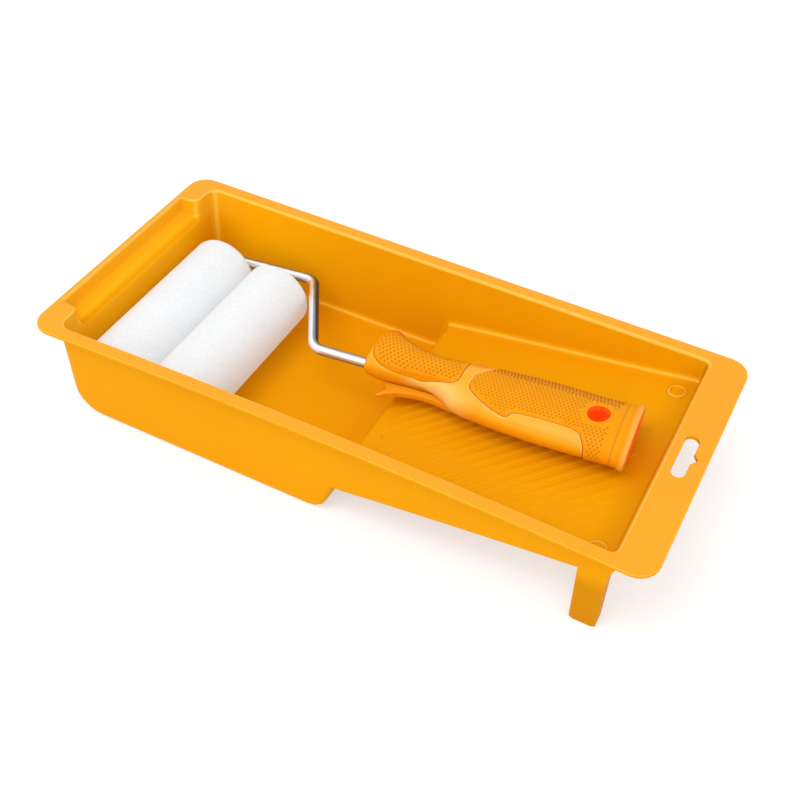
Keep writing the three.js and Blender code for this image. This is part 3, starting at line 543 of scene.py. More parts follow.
def lowerRibs(mesh):
    points = pointsOf(mesh) / mm
    x = points[:, 0]
    along = (x - ramp["startX"]) / (ramp["endX"] - ramp["startX"])
    plane = ramp["startZ"] + (ramp["endZ"] - ramp["startZ"]) * along
    rise = points[:, 2] - plane
    onRib = (x > ramp["ribsFrom"]) & (x < ramp["ribsTo"]) & (np.abs(points[:, 1]) < ramp["half"])
    onRib &= (rise > ramp["riseFrom"]) & (rise < ramp["riseTo"])
    fade = np.clip((x - ramp["fadeFrom"]) / (ramp["fadeTo"] - ramp["fadeFrom"]), 0, 1)
    share = ramp["low"] + (ramp["faint"] - ramp["low"]) * fade
    points[:, 2] = np.where(onRib, plane + rise * share, points[:, 2])
    mesh.vertices.foreach_set("co", (points * mm).ravel())


tray = smoothCopy("tray", "tray_body", "tray_plastic", finishes["tray"], 34)
lowerRibs(tray.data)
print("tray moulding made")


# The frame's own axes start on the sleeve's axis and lean up towards the handle
wire = {
    "radius": 2.75, "armY": 53.6, "armBendX": 53.4, "neckBendX": 83, "handleY": 2.7,
    "cornerBend": 6.5, "armBend": 9, "neckBend": 10, "inHandle": 62, "handleX": 115,
    "shoulderRadius": 4.3, "shoulderWidth": 1.6, "shoulderGap": 0.6, "bendSteps": 18, "around": 40,
}


def frameMatrix():
    low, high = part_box("core_tube_1")
    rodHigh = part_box("frame_rod")[1]
    reach = wire["handleX"] + wire["inHandle"]
    tilt = 0.0
    for _ in range(8):
        rise = rodHigh.z / mm - (low.z + high.z) / 2 / mm - wire["radius"] * math.cos(tilt)
        tilt = math.asin(rise / reach)
    centre = Vector(((low.x + high.x) / 2, 0, (low.z + high.z) / 2))
    return Matrix.Translation(centre) @ Matrix.Rotation(-tilt, 4, "Y") @ Matrix.Scale(mm, 4)


toFrame = frameMatrix()


# Trees for Geometry Nodes
def newTree(name, inputs):
    tree = bpy.data.node_groups.new(name, "GeometryNodeTree")
    tree.interface.new_socket("Geometry", in_out="OUTPUT", socket_type="NodeSocketGeometry")
    for label, kind in [("Geometry", "Geometry"), *inputs]:
        tree.interface.new_socket(label, in_out="INPUT", socket_type=f"NodeSocket{kind}")
    sheet = Sheet(tree)
    source = tree.nodes.new("NodeGroupInput")
    return sheet, {s.name: Field(sheet, s) for s in source.outputs if s.name}


def closeTree(sheet, result, material):
    whole = sheet.add("GeometryNodeRealizeInstances", {}, {"Geometry": result})
    smooth = sheet.add("GeometryNodeSetShadeSmooth", {}, {"Geometry": whole})
    painted = sheet.add("GeometryNodeSetMaterial", {}, {"Geometry": smooth, "Material": material})
    sheet.feed(sheet.tree.nodes.new("NodeGroupOutput"), {0: painted})
    return sheet.tree


def runTree(piece, tree, values):
    step = piece.modifiers.new(tree.name, "NODES")
    step.node_group = tree
    named = {s.name: s.identifier for s in tree.interface.items_tree if s.in_out == "INPUT"}
    for label, value in values.items():
        step[named[label]] = value
    piece.update_tag()
    return settle(piece)


# A path of straight runs whose corners are rounded, swept by a circle
def wireTree():
    inputs = [("Wire radius", "Float"), ("Bend steps", "Int"), ("Around", "Int"), ("Finish", "Material")]
    sheet, given = newTree("bentWire", inputs)
    path = sheet.add("GeometryNodeMeshToCurve", {}, {"Mesh": given["Geometry"]})
    sockets = {"Curve": path, "Count": given["Bend steps"], "Radius": sheet.attribute("bend", "FLOAT")}
    rounded = sheet.add("GeometryNodeFilletCurve", {"mode": "POLY"}, sockets)
    sockets = {"Resolution": given["Around"], "Radius": given["Wire radius"]}
    ring = sheet.add("GeometryNodeCurvePrimitiveCircle", {}, sockets)
    sockets = {"Curve": rounded, "Profile Curve": ring, "Fill Caps": True}
    swept = sheet.add("GeometryNodeCurveToMesh", {}, sockets)
    return closeTree(sheet, swept, given["Finish"])


def turned(name, profile, around):
    def spin(shape):
        corners = [shape.verts.new((radius, along, 0)) for radius, along in profile]
        edges = [shape.edges.new(pair) for pair in zip(corners, corners[1:])]
        bmesh.ops.spin(shape, geom=corners + edges, axis=(0, 1, 0), cent=(0, 0, 0), steps=around,
                       angle=2 * math.pi, use_merge=True)
        bmesh.ops.remove_doubles(shape, verts=shape.verts, dist=0.001)
        bmesh.ops.recalc_face_normals(shape, faces=shape.faces)

    return reshape(bpy.data.meshes.new(name), spin)


def mirrored(profile, length):
    return profile + [(radius, length - along) for radius, along in reversed(profile)]


def bentWire():
    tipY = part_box("frame_rod")[0].y / mm
    corners = [
        (0, tipY + wire["radius"], 0), (0, wire["armY"], wire["cornerBend"]),
        (wire["armBendX"], wire["armY"], wire["armBend"]),
        (wire["neckBendX"], wire["handleY"], wire["neckBend"]),
        (wire["handleX"] + wire["inHandle"], wire["handleY"], 0),
    ]
    mesh = bpy.data.meshes.new("wirePath")
    mesh.from_pydata([(x, y, 0) for x, y, _ in corners], [(i, i + 1) for i in range(len(corners) - 1)], [])
    mesh.attributes.new("bend", "FLOAT", "POINT").data.foreach_set("value", [c[2] for c in corners])
    piece = newPiece("frame_wire", mesh)
    runTree(piece, wireTree(), {
        "Wire radius": float(wire["radius"]), "Bend steps": wire["bendSteps"], "Around": wire["around"],
        "Finish": finishes["chrome"],
    })
    r = wire["radius"]
    dome = [(0, 0), (r * 0.45, 0.25), (r * 0.8, 1.0), (r * 0.96, 1.9), (r, r), (r, r + 1), (0, r + 1)]
    top = wire["shoulderRadius"]
    wide = wire["shoulderWidth"]
    edge = wide / 4
    shoulder = mirrored([(0, 0), (top - edge, 0), (top - edge / 3, edge / 3), (top, edge)], wide)
    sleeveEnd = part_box("nap_cover_1")[1].y / mm
    for profile, along in ((dome, tipY), (shoulder, sleeveEnd + wire["shoulderGap"])):
        mesh = turned("turnedPart", profile, wire["around"])
        mesh.transform(Matrix.Translation((0, along, 0)))
        combine(piece, "UNION", newPiece("turnedPart", mesh))
    piece.data.transform(toFrame)
    smoothShade(piece.data, 40)
    setMaterials(piece.data, [finishes["chrome"]])
    return seat(piece, "roller_frame", "rod_chrome", "frame_rod")


bentWire()
print("wire made")


handle = {
    "length": 137.5, "frontX": 115, "halfWidth": 18.8, "halfHeight": 9.6, "y": 2.7,
    "gripThickness": 1.5, "gripProud": 0.25, "seam": 0.3, "edgeDrop": 0.55, "edgeWidth": 1.1,
    "socketWall": 2.6, "socketDepth": 46, "holeRadius": 5.4, "holeFromEnd": 16, "holeRim": 0.4,
    "holeRimAt": 0.9, "holeRimWidth": 1.1, "endSlant": 0.08, "endSlantFrom": 0.9, "endLean": 0.14,
    "endSlide": 1.4, "beadHeight": 0.99, "beadWidth": 3.2, "guardThickness": 3.0, "guardTip": 1.7,
    "guardDrop": 6.0, "guardEdge": 0.6, "guardStandOff": 1.03, "stations": 280, "around": 168,
    "boreAround": 64, "boreGap": 0.3, "reach": 4, "cornerCut": 0.2, "cornerRounds": 3, "paintGap": 0.15,
}
tall = handle["halfHeight"] + handle["reach"]
# Place along the handle, sideways offset, half-width and half-height, as shares of its sizes
formShares = np.array([
    [0, 0.48, 0.7, 0.66], [0.01, 0.5, 0.77, 0.86], [0.025, 0.53, 0.8, 1], [0.045, 0.52, 0.82, 1.04],
    [0.07, 0.463, 0.765, 1.04], [0.1, 0.407, 0.7, 1.02], [0.145, 0.34, 0.605, 1], [0.19, 0.3, 0.54, 0.98],
    [0.25, 0.277, 0.51, 0.97], [0.3, 0.23, 0.56, 0.98], [0.33, 0.19, 0.65, 0.99], [0.36, 0.1375, 0.7675, 1],
    [0.41, 0.09, 0.86, 1], [0.47, 0.075, 0.9, 1.01], [0.53, 0.06, 0.94, 1.01], [0.61, 0.055, 0.98, 1.02],
    [0.69, 0.045, 1, 1.02], [0.77, 0.04, 1, 1], [0.86, 0.03, 0.985, 0.99], [0.94, 0.04, 0.985, 0.99],
    [1, 0.05, 1, 1],
])
# Outlines seen along the frame's normal, as shares of the handle's length and half-width
frontShares = [
    (0.352, 1.7), (0.368, 0.8), (0.375, 0.3), (0.378, 0), (0.375, -0.16), (0.357, -0.25), (0.31, -0.21),
    (0.275, -0.184), (0.246, -0.18), (0.19, -0.184), (0.135, -0.203), (0.094, -0.198), (0.059, -0.148),
    (0.03, 0.007), (0.014, 0.26), (0.009, 0.55), (0.009, 1), (0.02, 1.7),
]
rearShares = [
    (1.1, -1.4), (0.885, -1.4), (0.88, -0.92), (0.867, -0.774), (0.852, -0.648), (0.832, -0.592),
    (0.782, -0.558), (0.722, -0.567), (0.624, -0.586), (0.603, -0.642), (0.5955, -0.737), (0.578, -0.737),
    (0.513, -0.613), (0.464, -0.45), (0.4276, -0.275), (0.4215, -0.067), (0.4225, 0.227), (0.446, 0.47),
    (0.5, 1.4), (1.1, 1.4),
]
guardShares = [
    (0.18, 0.15), (0.09, 0.0), (0.08, -0.22), (0.094, -0.33), (0.109, -0.44), (0.1, -0.58), (0.083, -0.68),
    (0.079, -0.75), (0.094, -0.745), (0.118, -0.6), (0.161, -0.47), (0.235, -0.372), (0.276, -0.384),
    (0.318, -0.43), (0.36, -0.48), (0.4, -0.49), (0.47, -0.46), (0.47, 0.15),
]


def formAt(shares):
    places = formShares[:, 0]
    rows = formShares[:, 1:]
    slopes = np.gradient(rows, places, axis=0)
    i = np.clip(np.searchsorted(places, shares, side="right") - 1, 0, len(places) - 2)
    span = (places[i + 1] - places[i])[:, None]
    t = (shares - places[i])[:, None] / span
    start = (2 * t ** 3 - 3 * t ** 2 + 1) * rows[i] + (t ** 3 - 2 * t ** 2 + t) * span * slopes[i]
    return start + (3 * t ** 2 - 2 * t ** 3) * rows[i + 1] + (t ** 3 - t ** 2) * span * slopes[i + 1]


# Points of the handle's skin, grown by a distance
def skinPoints(shares, angles, grow=0.0):
    form = formAt(shares)
    offset, wide, high = (form[:, k][:, None] for k in range(3))
    cosine = np.cos(angles)[None, :]
    sine = np.sin(angles)[None, :]
    y = handle["y"] + offset * handle["halfWidth"] + (wide * handle["halfWidth"] + grow) * cosine
    z = (high * handle["halfHeight"] + grow) * sine
    late = np.clip((shares - handle["endSlantFrom"]) / (1 - handle["endSlantFrom"]), 0, None)[:, None]
    x = handle["frontX"] + shares[:, None] * handle["length"]
    x = x - handle["endSlant"] * late * (y - handle["y"]) + late * handle["endSlide"]
    x = x + handle["endLean"] * late ** 2 * z
    return np.stack(np.broadcast_arrays(x, y, z), -1)


def handleOutline(shares, grow=0.0):
    points = np.array(shares) * (handle["length"], handle["halfWidth"]) + (handle["frontX"], handle["y"])
    part = handle["cornerCut"]
    for _ in range(handle["cornerRounds"]):
        after = np.roll(points, -1, axis=0)
        cuts = [points * (1 - part) + after * part, points * part + after * (1 - part)]
        points = np.stack(cuts, 1).reshape(-1, 2)
    area = np.sum(points[:, 0] * np.roll(points[:, 1], -1) - points[:, 1] * np.roll(points[:, 0], -1))
    if area < 0:
        points = points[::-1]
    if grow:
        along = np.roll(points, -1, axis=0) - np.roll(points, 1, axis=0)
        along = along / np.linalg.norm(along, axis=1, keepdims=True)
        points = points + grow * np.stack([along[:, 1], -along[:, 0]], -1)
    return points


# Signed distance to an outline, above zero inside it
def depthInside(points, outline):
    flat = points[..., :2].reshape(-1, 2)
    nearest = np.full(len(flat), 1e9)
    inside = np.zeros(len(flat), bool)
    for a, b in zip(outline, np.roll(outline, -1, axis=0)):
        side = b - a
        t = np.clip(((flat - a) @ side) / (side @ side), 0, 1)
        nearest = np.minimum(nearest, np.linalg.norm(flat - a - t[:, None] * side, axis=1))
        crosses = (a[1] > flat[:, 1]) != (b[1] > flat[:, 1])
        level = side[1] if side[1] != 0 else 1e-12
        inside ^= crosses & (flat[:, 0] < a[0] + (flat[:, 1] - a[1]) * side[0] / level)
    return np.where(inside, nearest, -nearest).reshape(points.shape[:-1])


def closedLoft(name, rings):
    count, around = rings.shape[:2]
    pairs = [(i, (i + 1) % around) for i in range(around)]
    faces = [(j + i, j + k, j + around + k, j + around + i)
             for j in range(0, (count - 1) * around, around) for i, k in pairs]
    faces.append(tuple(range(around)))
    faces.append(tuple((count - 1) * around + i for i in reversed(range(around))))
    mesh = meshFrom(name, rings.reshape(-1, 3), faces)
    reshape(mesh, lambda shape: bmesh.ops.recalc_face_normals(shape, faces=shape.faces))
    return newPiece(name, mesh)


def prism(name, outline, half):
    count = len(outline)
    points = [(x, y, z) for z in (-half, half) for x, y in outline]
    faces = [tuple(reversed(range(count))), tuple(range(count, 2 * count))]
    faces += [(i, (i + 1) % count, count + (i + 1) % count, count + i) for i in range(count)]
    return newPiece(name, meshFrom(name, points, faces))


def holeCentre():
    share = 1 - handle["holeFromEnd"] / handle["length"]
    middle = handle["y"] + formAt(np.array([share]))[0, 0] * handle["halfWidth"]
    return handle["frontX"] + share * handle["length"], middle


def outsideHole(points):
    x, y = holeCentre()
    return np.hypot(points[..., 0] - x, points[..., 1] - y) - handle["holeRadius"]


def tube(name, start, end, radius):
    turn = (end - start).to_track_quat("Z", "Y").to_matrix().to_4x4()

    def cone(shape):
        bmesh.ops.create_cone(shape, cap_ends=True, segments=handle["boreAround"], radius1=radius,
                              radius2=radius, depth=(end - start).length)
        shape.transform(Matrix.Translation((start + end) / 2) @ turn)

    return newPiece(name, reshape(bpy.data.meshes.new(name), cone))


def hangHole():
    x, y = holeCentre()
    return tube("hangHole", Vector((x, y, -tall)), Vector((x, y, tall)), handle["holeRadius"])


angles = np.linspace(0, 2 * math.pi, handle["around"], endpoint=False)
# Stations crowd towards both ends, where the form turns quickly
endShares = [0.002, 0.005, 0.008, 0.992, 0.995, 0.998]
allShares = np.unique(np.concatenate([np.linspace(0, 1, handle["stations"]), endShares]))
frontOutline = handleOutline(frontShares)
rearOutline = handleOutline(rearShares)


def softEdge(depth):
    return handle["edgeDrop"] * np.clip(1 - depth / handle["edgeWidth"], 0, 1) ** 2


def handleLoft(name, grow, fromShare=0.0, pastEnd=0.0):
    shares = allShares[allShares >= fromShare]
    rings = skinPoints(shares, angles, grow)
    rings[-1, :, 0] += pastEnd
    return closedLoft(name, rings)


# The pole socket's hollow, which runs out past the rear end
def socketLoft():
    fromShare = 1 - handle["socketDepth"] / handle["length"]
    return handleLoft("socket", -handle["socketWall"], fromShare, handle["reach"])


# What is cut away for a grip and the seam round it
def pocket(name, shares):
    block = prism(name, handleOutline(shares, handle["seam"]), tall)
    depth = handle["gripThickness"] + handle["seam"]
    return cut(block, handleLoft("pocketFloor", -depth))


# Each face's middle, its share along the handle and its place on the oval a wall's depth inside
def facePlaces(mesh, wall=0.0):
    centres = np.array([p.center[:] for p in mesh.polygons])
    shares = (centres[:, 0] - handle["frontX"]) / handle["length"]
    form = formAt(np.clip(shares, 0, 1))
    middle = handle["y"] + form[:, 0] * handle["halfWidth"]
    across = (centres[:, 1] - middle) / (form[:, 1] * handle["halfWidth"] - wall)
    high = centres[:, 2] / (form[:, 2] * handle["halfHeight"] - wall)
    return centres, shares, across, across ** 2 + high ** 2


def paint(mesh, chosen, index, others):
    mesh.polygons.foreach_set("material_index", np.where(chosen, index, others).astype(np.int32))


def paintInside(mesh, index):
    centres, shares, _, oval = facePlaces(mesh, handle["socketWall"] - handle["paintGap"])
    inSocket = (oval < 1) & (shares > 1 - handle["socketDepth"] / handle["length"] - 0.01)
    inHole = outsideHole(centres) < 0.02
    paint(mesh, inSocket | inHole, index, 0)


# Faces that stand off the handle's own skin belong to the guard, which is painted darker as painted shade
# under the body
def paintGuard(mesh, index):
    _, shares, across, oval = facePlaces(mesh)
    onGuard = (oval > handle["guardStandOff"]) & (across < 0) & (shares < 0.5) & (shares > 0.05)
    painted = np.zeros(len(mesh.polygons), np.int32)
    mesh.polygons.foreach_get("material_index", painted)
    paint(mesh, onGuard, index, painted)


# How far each upper point lies outside the grips' outlines, for the painted highlight on the lip beside
# them
def markSeam(mesh):
    points = pointsOf(mesh)
    outside = np.minimum(-depthInside(points, frontOutline), -depthInside(points, rearOutline))
    outside[points[:, 2] < 0] = 9
    mesh.attributes.new("seam", "FLOAT", "POINT").data.foreach_set("value", outside)


# A leaf that thins towards its tip and hangs low on the handle's side
def fingerGuard():
    outline = handleOutline(guardShares)
    piece = prism("guard", outline, 0.5)
    tipY = outline[:, 1].min()
    rootY = handle["y"] - handle["halfWidth"] / 2
    for vertex in piece.data.vertices:
        share = min(max((rootY - vertex.co.y) / (rootY - tipY), 0), 1)
        thick = handle["guardThickness"] + (handle["guardTip"] - handle["guardThickness"]) * share
        vertex.co.z = vertex.co.z * thick - handle["guardDrop"]
    edge = piece.modifiers.new("edge", "BEVEL")
    edge.width = handle["guardEdge"]
    edge.segments = 3
    edge.limit_method = "ANGLE"
    edge.angle_limit = math.radians(60)
    return settle(piece)


def finish(piece, slotName, node):
    smoothShade(piece.data, 38)
    piece.data.transform(toFrame)
    return seat(piece, "roller_frame", slotName, node)


def handleCore():
    plain = skinPoints(allShares, angles)
    outside = [-depthInside(plain, outline) for outline in (frontOutline, rearOutline)]
    drop = sum(softEdge(depth - handle["seam"]) * (depth > -1) for depth in outside)
    piece = handleLoft("handle_moulding", -drop)
    combine(piece, "UNION", fingerGuard())
    cut(piece, pocket("frontPocket", frontShares))
    cut(piece, pocket("rearPocket", rearShares))
    gap = handle["boreGap"]
    start = Vector((handle["frontX"] - handle["reach"], wire["handleY"], 0))
    end = Vector((handle["frontX"] + wire["inHandle"] + gap, wire["handleY"], 0))
    cut(piece, tube("bore", start, end, wire["radius"] + gap))
    cut(piece, socketLoft())
    cut(piece, hangHole())
    setMaterials(piece.data, [finishes[key] for key in ("handle", "inside", "guard")])
    paintInside(piece.data, 1)
    paintGuard(piece.data, 2)
    markSeam(piece.data)
    return finish(piece, "handle_plastic", "handle_core")


# A grip's skin is rounded at its seam, with a bead at the rear end and a rim at the hole
def gripGrow(points, outline):
    grow = handle["gripProud"] - softEdge(depthInside(points, outline))
    fromEnd = (1 - allShares)[:, None] * handle["length"]
    half = handle["beadWidth"] / 2
    bead = np.clip(1 - ((fromEnd - half) / half) ** 2, 0, 1) ** 0.5
    fromRim = (outsideHole(points) - handle["holeRimAt"]) / handle["holeRimWidth"]
    rim = np.clip(1 - fromRim ** 2, 0, 1)
    return grow + handle["beadHeight"] * bead + handle["holeRim"] * rim


def grip(name, outline):
    piece = handleLoft(name, gripGrow(skinPoints(allShares, angles), outline))
    combine(piece, "INTERSECT", prism("outline", outline, tall))
    return cut(piece, handleLoft("gripFloor", -handle["gripThickness"]))


def finishGrip(piece, node):
    setMaterials(piece.data, [finishes["grip"], finishes["inside"]])
    paintInside(piece.data, 1)
    return finish(piece, "grip_plastic", node)


handleCore()
print("handle moulding made")
finishGrip(grip("front_grip_moulding", frontOutline), "front_grip")
rearGrip = grip("rear_grip_moulding", rearOutline)
cut(rearGrip, socketLoft())
cut(rearGrip, hangHole())
finishGrip(rearGrip, "rear_grip")
print("grips made")


# Raised studs in staggered rows, placed on a map of the grip's skin: lengths along and around it
studs = {
    "mapSize": 160.0, "holeGap": 1.2, "beadGap": 4.5,
    "front": {"Pitch": 2.5, "Row gap": 1.75, "First row": -30.0, "Margin": 1.5},
    "rear": {"Pitch": 2.1, "Row gap": 1.5, "First row": -40.0, "Margin": 1.6},
    "side": {"Pitch": 1.75, "Row gap": 2.7, "First row": 9.9, "Margin": 1.2},
    "size": {"front": (0.62, 0.62, 0.3), "rear": (0.5, 0.5, 0.3), "side": (0.52, 1.25, 0.42)},
    "lastRow": {"front": 40, "rear": 8.2, "side": 26},
    "finish": {"front": "stud", "rear": "stud", "side": "sideStudShade"},
}


def studTree():
    inputs = [(label, "Float") for label in ("Pitch", "Row gap", "First row", "Map size", "Margin")]
    inputs += [("Columns", "Int"), ("Rows", "Int"), ("Stud size", "Vector"), ("Finish", "Material")]
    sheet, given = newTree("gripStuds", inputs)
    kept = sheet.add("GeometryNodeMeshGrid", {}, {
        "Size X": 1.0, "Size Y": 1.0, "Vertices X": given["Columns"], "Vertices Y": given["Rows"],
    })
    index = sheet.add("GeometryNodeInputIndex")
    column = sheet.add("ShaderNodeMath", {"operation": "FLOOR"}, {0: index / given["Rows"] + 0.0001})
    row = index - column * given["Rows"]
    odd = sheet.add("ShaderNodeMath", {"operation": "MODULO"}, {0: row, 1: 2.0})
    along = (column + odd * 0.5) * given["Pitch"]
    around = row * given["Row gap"] + given["First row"]
    spot = sheet.add("ShaderNodeCombineXYZ", {}, {
        "X": along / given["Map size"], "Y": around / given["Map size"] + 0.5,
    })
    skinMap = sheet.attribute("skinMap", "FLOAT_VECTOR")
    depth = sheet.attribute("depth", "FLOAT")
    here = sheet.add("GeometryNodeInputPosition")
    facing = sheet.add("GeometryNodeInputNormal")

    def sampled(kind, value, output):
        node = sheet.tree.nodes.new("GeometryNodeSampleUVSurface")
        node.data_type = kind
        used = {s.name: s for s in node.inputs if s.enabled}
        pairs = (("Mesh", given["Geometry"]), ("Value", value), ("Sample UV", spot), ("UV Map", skinMap))
        for label, part in pairs:
            sheet.tree.links.new(part.socket, used[label])
        return Field(sheet, [s for s in node.outputs if s.enabled][output])

    wanted = [("spotPlace", "FLOAT_VECTOR", here, 0), ("spotFacing", "FLOAT_VECTOR", facing, 0),
              ("spotDepth", "FLOAT", depth, 0), ("spotFound", "FLOAT", depth, 1)]
    for label, kind, value, output in wanted:
        kept = sheet.add("GeometryNodeStoreNamedAttribute", {"data_type": kind, "domain": "POINT"},
                         {"Geometry": kept, "Name": label, "Value": sampled(kind, value, output)})
    foundDepth = sheet.attribute("spotDepth", "FLOAT") * sheet.attribute("spotFound", "FLOAT")
    shallow = sheet.add("FunctionNodeCompare", {"data_type": "FLOAT", "operation": "LESS_THAN"},
                        {0: foundDepth, 1: given["Margin"]})
    kept = sheet.add("GeometryNodeDeleteGeometry", {"domain": "POINT"},
                     {"Geometry": kept, "Selection": shallow})
    spotPlace = sheet.attribute("spotPlace", "FLOAT_VECTOR")
    kept = sheet.add("GeometryNodeSetPosition", {}, {"Geometry": kept, "Position": spotPlace})
    upright = sheet.add("FunctionNodeAlignRotationToVector", {"axis": "Z"},
                        {"Vector": sheet.attribute("spotFacing", "FLOAT_VECTOR")})
    lengthwise = sheet.add("FunctionNodeAlignRotationToVector", {"axis": "X", "pivot_axis": "Z"},
                           {"Rotation": upright, "Vector": (1.0, 0.0, 0.0)})
    stud = sheet.add("GeometryNodeMeshUVSphere", {}, {"Segments": 8, "Rings": 5, "Radius": 1.0})
    laid = sheet.add("GeometryNodeInstanceOnPoints", {}, {
        "Points": kept, "Instance": stud, "Rotation": lengthwise, "Scale": given["Stud size"],
    })
    return closeTree(sheet, laid, given["Finish"])


# The grip's outer skin, opened along its underside, with its map and its depth inside the outline
def gripSkin(outline, isRear):
    turn = np.linspace(math.pi * 1.5, -math.pi / 2, handle["around"] + 1)
    plain = skinPoints(allShares, turn)
    points = skinPoints(allShares, turn, gripGrow(plain, outline))
    steps = np.linalg.norm(np.diff(points, axis=1), axis=2)
    around = np.concatenate([np.zeros((len(points), 1)), np.cumsum(steps, axis=1)], 1)
    around = around - around[:, handle["around"] // 2][:, None]
    depth = depthInside(plain, outline)
    if isRear:
        fromBead = (1 - allShares)[:, None] * handle["length"] - handle["beadWidth"]
        depth = np.minimum(depth, outsideHole(plain) - studs["holeGap"])
        depth = np.minimum(depth, fromBead - studs["beadGap"])
    count, across = points.shape[:2]
    firsts = [j * across + i for j in range(count - 1) for i in range(across - 1)]
    faces = [(a, a + 1, a + across + 1, a + across) for a in firsts]
    mesh = meshFrom("skin", points.reshape(-1, 3), faces)
    size = studs["mapSize"]
    alongShare = (plain[..., 0] - handle["frontX"]) / size
    flat = np.stack([alongShare, around / size + 0.5, np.zeros_like(around)], -1)
    mesh.attributes.new("skinMap", "FLOAT_VECTOR", "POINT").data.foreach_set("vector", flat.ravel())
    mesh.attributes.new("depth", "FLOAT", "POINT").data.foreach_set("value", depth.ravel())
    return newPiece("skin", mesh)


def gripStuds(name, outline, plans):
    tree = bpy.data.node_groups.get("gripStuds") or studTree()
    laid = []
    for key in plans:
        plan = studs[key]
        piece = gripSkin(outline, outline is rearOutline)
        runTree(piece, tree, {
            **plan, "Map size": studs["mapSize"], "Columns": int(handle["length"] / plan["Pitch"]),
            "Rows": int((studs["lastRow"][key] - plan["First row"]) / plan["Row gap"]) + 1,
            "Stud size": studs["size"][key], "Finish": finishes[studs["finish"][key]],
        })
        laid.append(piece)
    whole = laid[0]
    if len(laid) > 1:
        with bpy.context.temp_override(active_object=whole, selected_editable_objects=laid):
            bpy.ops.object.join()
    whole.name = name
    whole.data.transform(toFrame)
    return seat(whole, "roller_frame", "grip_plastic")


gripStuds("front_grip_studs", frontOutline, ["front"])
gripStuds("rear_grip_studs", rearOutline, ["rear", "side"])
print("studs made")


# Sleeves: the pile is turned finely and a little uneven, and the plastic parts are smooth copies
sleeves = {
    "around": 160, "along": 90, "endRadius": 3.6, "uneven": 0.12, "boreGap": 0.3, "waves": 40,
    "waveTurns": (2, 26), "waveRates": (0.05, 1.2), "waveSum": 26,
}


def napSleeve(number, body):
    low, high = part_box(f"nap_cover_{number}")
    tubeLow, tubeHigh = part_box(f"core_tube_{number}")
    inner = (tubeHigh.x - tubeLow.x) / 2 / mm + sleeves["boreGap"]
    radius = (high.x - low.x) / 2 / mm
    length = (high.y - low.y) / mm
    bend = sleeves["endRadius"]
    corner = [(radius - bend + bend * math.sin(a), bend - bend * math.cos(a))
              for a in np.linspace(0, math.pi / 2, 9)]
    side = [(radius, y) for y in np.linspace(bend, length - bend, sleeves["along"])[1:-1]]
    face = [(inner + (radius - bend - inner) * t, 0) for t in np.linspace(0, 1, 5)[:-1]]
    near = face + corner
    profile = near + side + mirrored(near, length)[len(near):] + near[:1]
    mesh = turned("nap", profile, sleeves["around"])
    points = pointsOf(mesh)
    reach = np.hypot(points[:, 0], points[:, 2])
    wave = np.zeros(len(points))
    rng = np.random.default_rng(10 + number)
    turnAngle = np.arctan2(points[:, 2], points[:, 0])
    # A soft unevenness from waves round and along the sleeve
    for _ in range(sleeves["waves"]):
        phase = rng.uniform(0, 2 * math.pi)
        around = turnAngle * rng.integers(*sleeves["waveTurns"])
        wave += np.sin(around + points[:, 1] * rng.uniform(*sleeves["waveRates"]) + phase)
    lift = 1 - sleeves["uneven"] * (0.5 + wave / sleeves["waveSum"]) / np.maximum(reach, 1)
    outer = np.clip((reach - inner) / (radius - inner), 0, 1)
    scale = 1 + (lift - 1) * outer
    points[:, 0] *= scale
    points[:, 2] *= scale
    mesh.vertices.foreach_set("co", points.ravel())
    centre = (low + high) / 2
    mesh.transform(Matrix.Translation((centre.x, low.y, centre.z)) @ Matrix.Scale(mm, 4))
    smoothShade(mesh, 50)
    piece = newPiece(f"nap_sleeve_{number}", mesh, finishes["nap"])
    return seat(piece, body, "nap_fibre", f"nap_cover_{number}")


for number, body in ((1, "mounted_sleeve"), (2, "spare_sleeve")):
    napSleeve(number, body)
    for part in ("core_tube", "closed_end_cap", "bearing_bush"):
        smoothCopy(f"{part}_{number}", body, "white_plastic", finishes["white"], 40)
print("sleeves made")


stage = {
    "size": 6.0, "floorZ": -0.0003, "white": (1.0, 1.0, 1.0, 1.0), "bounce": (0.8, 0.8, 0.8, 1.0),
    "whiteShare": 0.5,
}


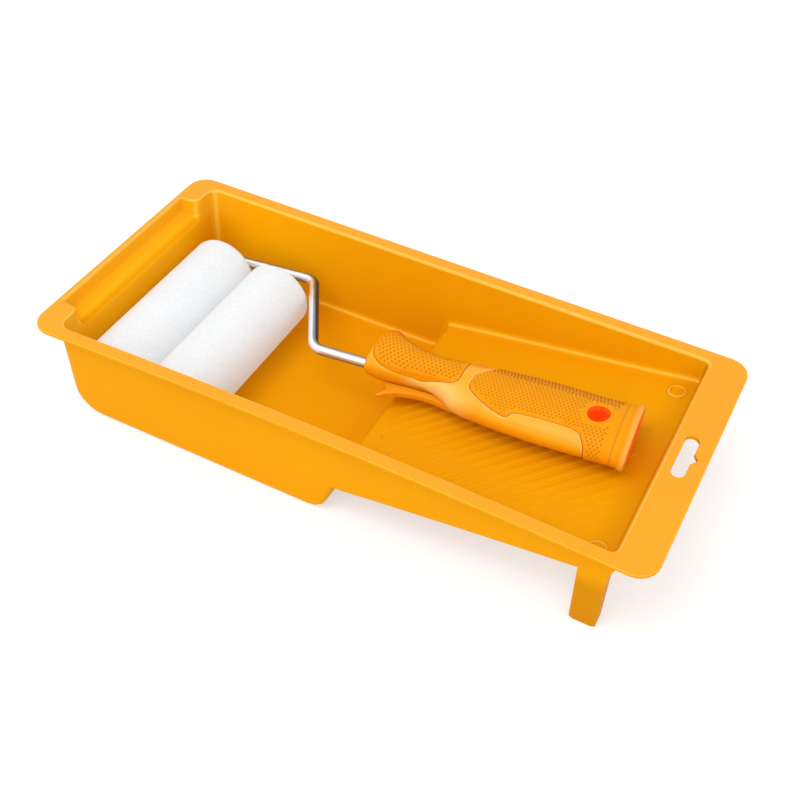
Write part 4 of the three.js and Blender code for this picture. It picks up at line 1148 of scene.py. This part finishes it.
# The camera sees the floor half as lit paper and half as plain white, so that shadows are faint
def makeFloor():
    half = stage["size"] / 2
    z = stage["floorZ"]
    corners = [(-half, -half, z), (half, -half, z), (half, half, z), (-half, half, z)]
    material = bpy.data.materials.new("floorPaper")
    material.use_nodes = True
    tree = material.node_tree
    sheet = Sheet(tree)
    tree.nodes.remove(tree.nodes["Principled BSDF"])
    rays = [sheet.add("ShaderNodeLightPath", output=name) for name in ("Is Camera Ray", "Is Glossy Ray")]
    bounce = sheet.add("ShaderNodeBsdfDiffuse", {}, {"Color": stage["bounce"]})
    shown = sheet.add("ShaderNodeBsdfDiffuse", {}, {"Color": stage["white"]})
    white = sheet.add("ShaderNodeEmission", {}, {"Color": stage["white"], "Strength": 1.0})
    paper = sheet.add("ShaderNodeMixShader", {}, {0: stage["whiteShare"], 1: shown, 2: white})
    mixed = sheet.add("ShaderNodeMixShader", {}, {0: rays[0] + rays[1], 1: bounce, 2: paper})
    sheet.feed(tree.nodes["Material Output"], {"Surface": mixed})
    newPiece("floor", meshFrom("floor", corners, [(0, 1, 2, 3)]), material)


def makeWorld():
    world = bpy.data.worlds.new("studio")
    world.use_nodes = True
    bpy.context.scene.world = world
    background = world.node_tree.nodes["Background"]
    Sheet(world.node_tree).feed(background, {"Color": stage["white"], "Strength": 1.0})


lamps = [
    {"name": "key", "place": (-0.3, -0.55, 1.25), "size": 0.8, "power": 7.0},
    {"name": "fill", "place": (0.5, -1.1, 0.7), "size": 0.9, "power": 4.5},
]


def makeLamps():
    for plan in lamps:
        data = bpy.data.lights.new(plan["name"], "AREA")
        data.shape = "SQUARE"
        data.size = plan["size"]
        data.energy = plan["power"]
        lamp = newPiece(plan["name"], data)
        lamp.location = plan["place"]
        lamp.rotation_euler = (-Vector(plan["place"])).to_track_quat("-Z", "Y").to_euler()


# The camera that took the photograph, solved from the rim's corners
view = {
    "place": (0.190430, -0.376018, 0.438733), "lens": 52.92, "sensor": 36, "near": 0.01,
    "right": (0.88567, 0.46341, 0.02891), "up": (-0.34597, 0.61714, 0.70671),
}


def makeCamera():
    data = bpy.data.cameras.new("camera")
    data.lens = view["lens"]
    data.sensor_width = view["sensor"]
    data.clip_start = view["near"]
    camera = newPiece("camera", data)
    right = Vector(view["right"]).normalized()
    up = Vector(view["up"]).normalized()
    back = right.cross(up)
    turn = Matrix((right, up, back)).transposed().to_4x4()
    camera.matrix_world = Matrix.Translation(view["place"]) @ turn
    bpy.context.scene.camera = camera


makeFloor()
makeWorld()
makeLamps()
makeCamera()
bpy.context.scene.view_settings.view_transform = "Standard"
print("stage made")
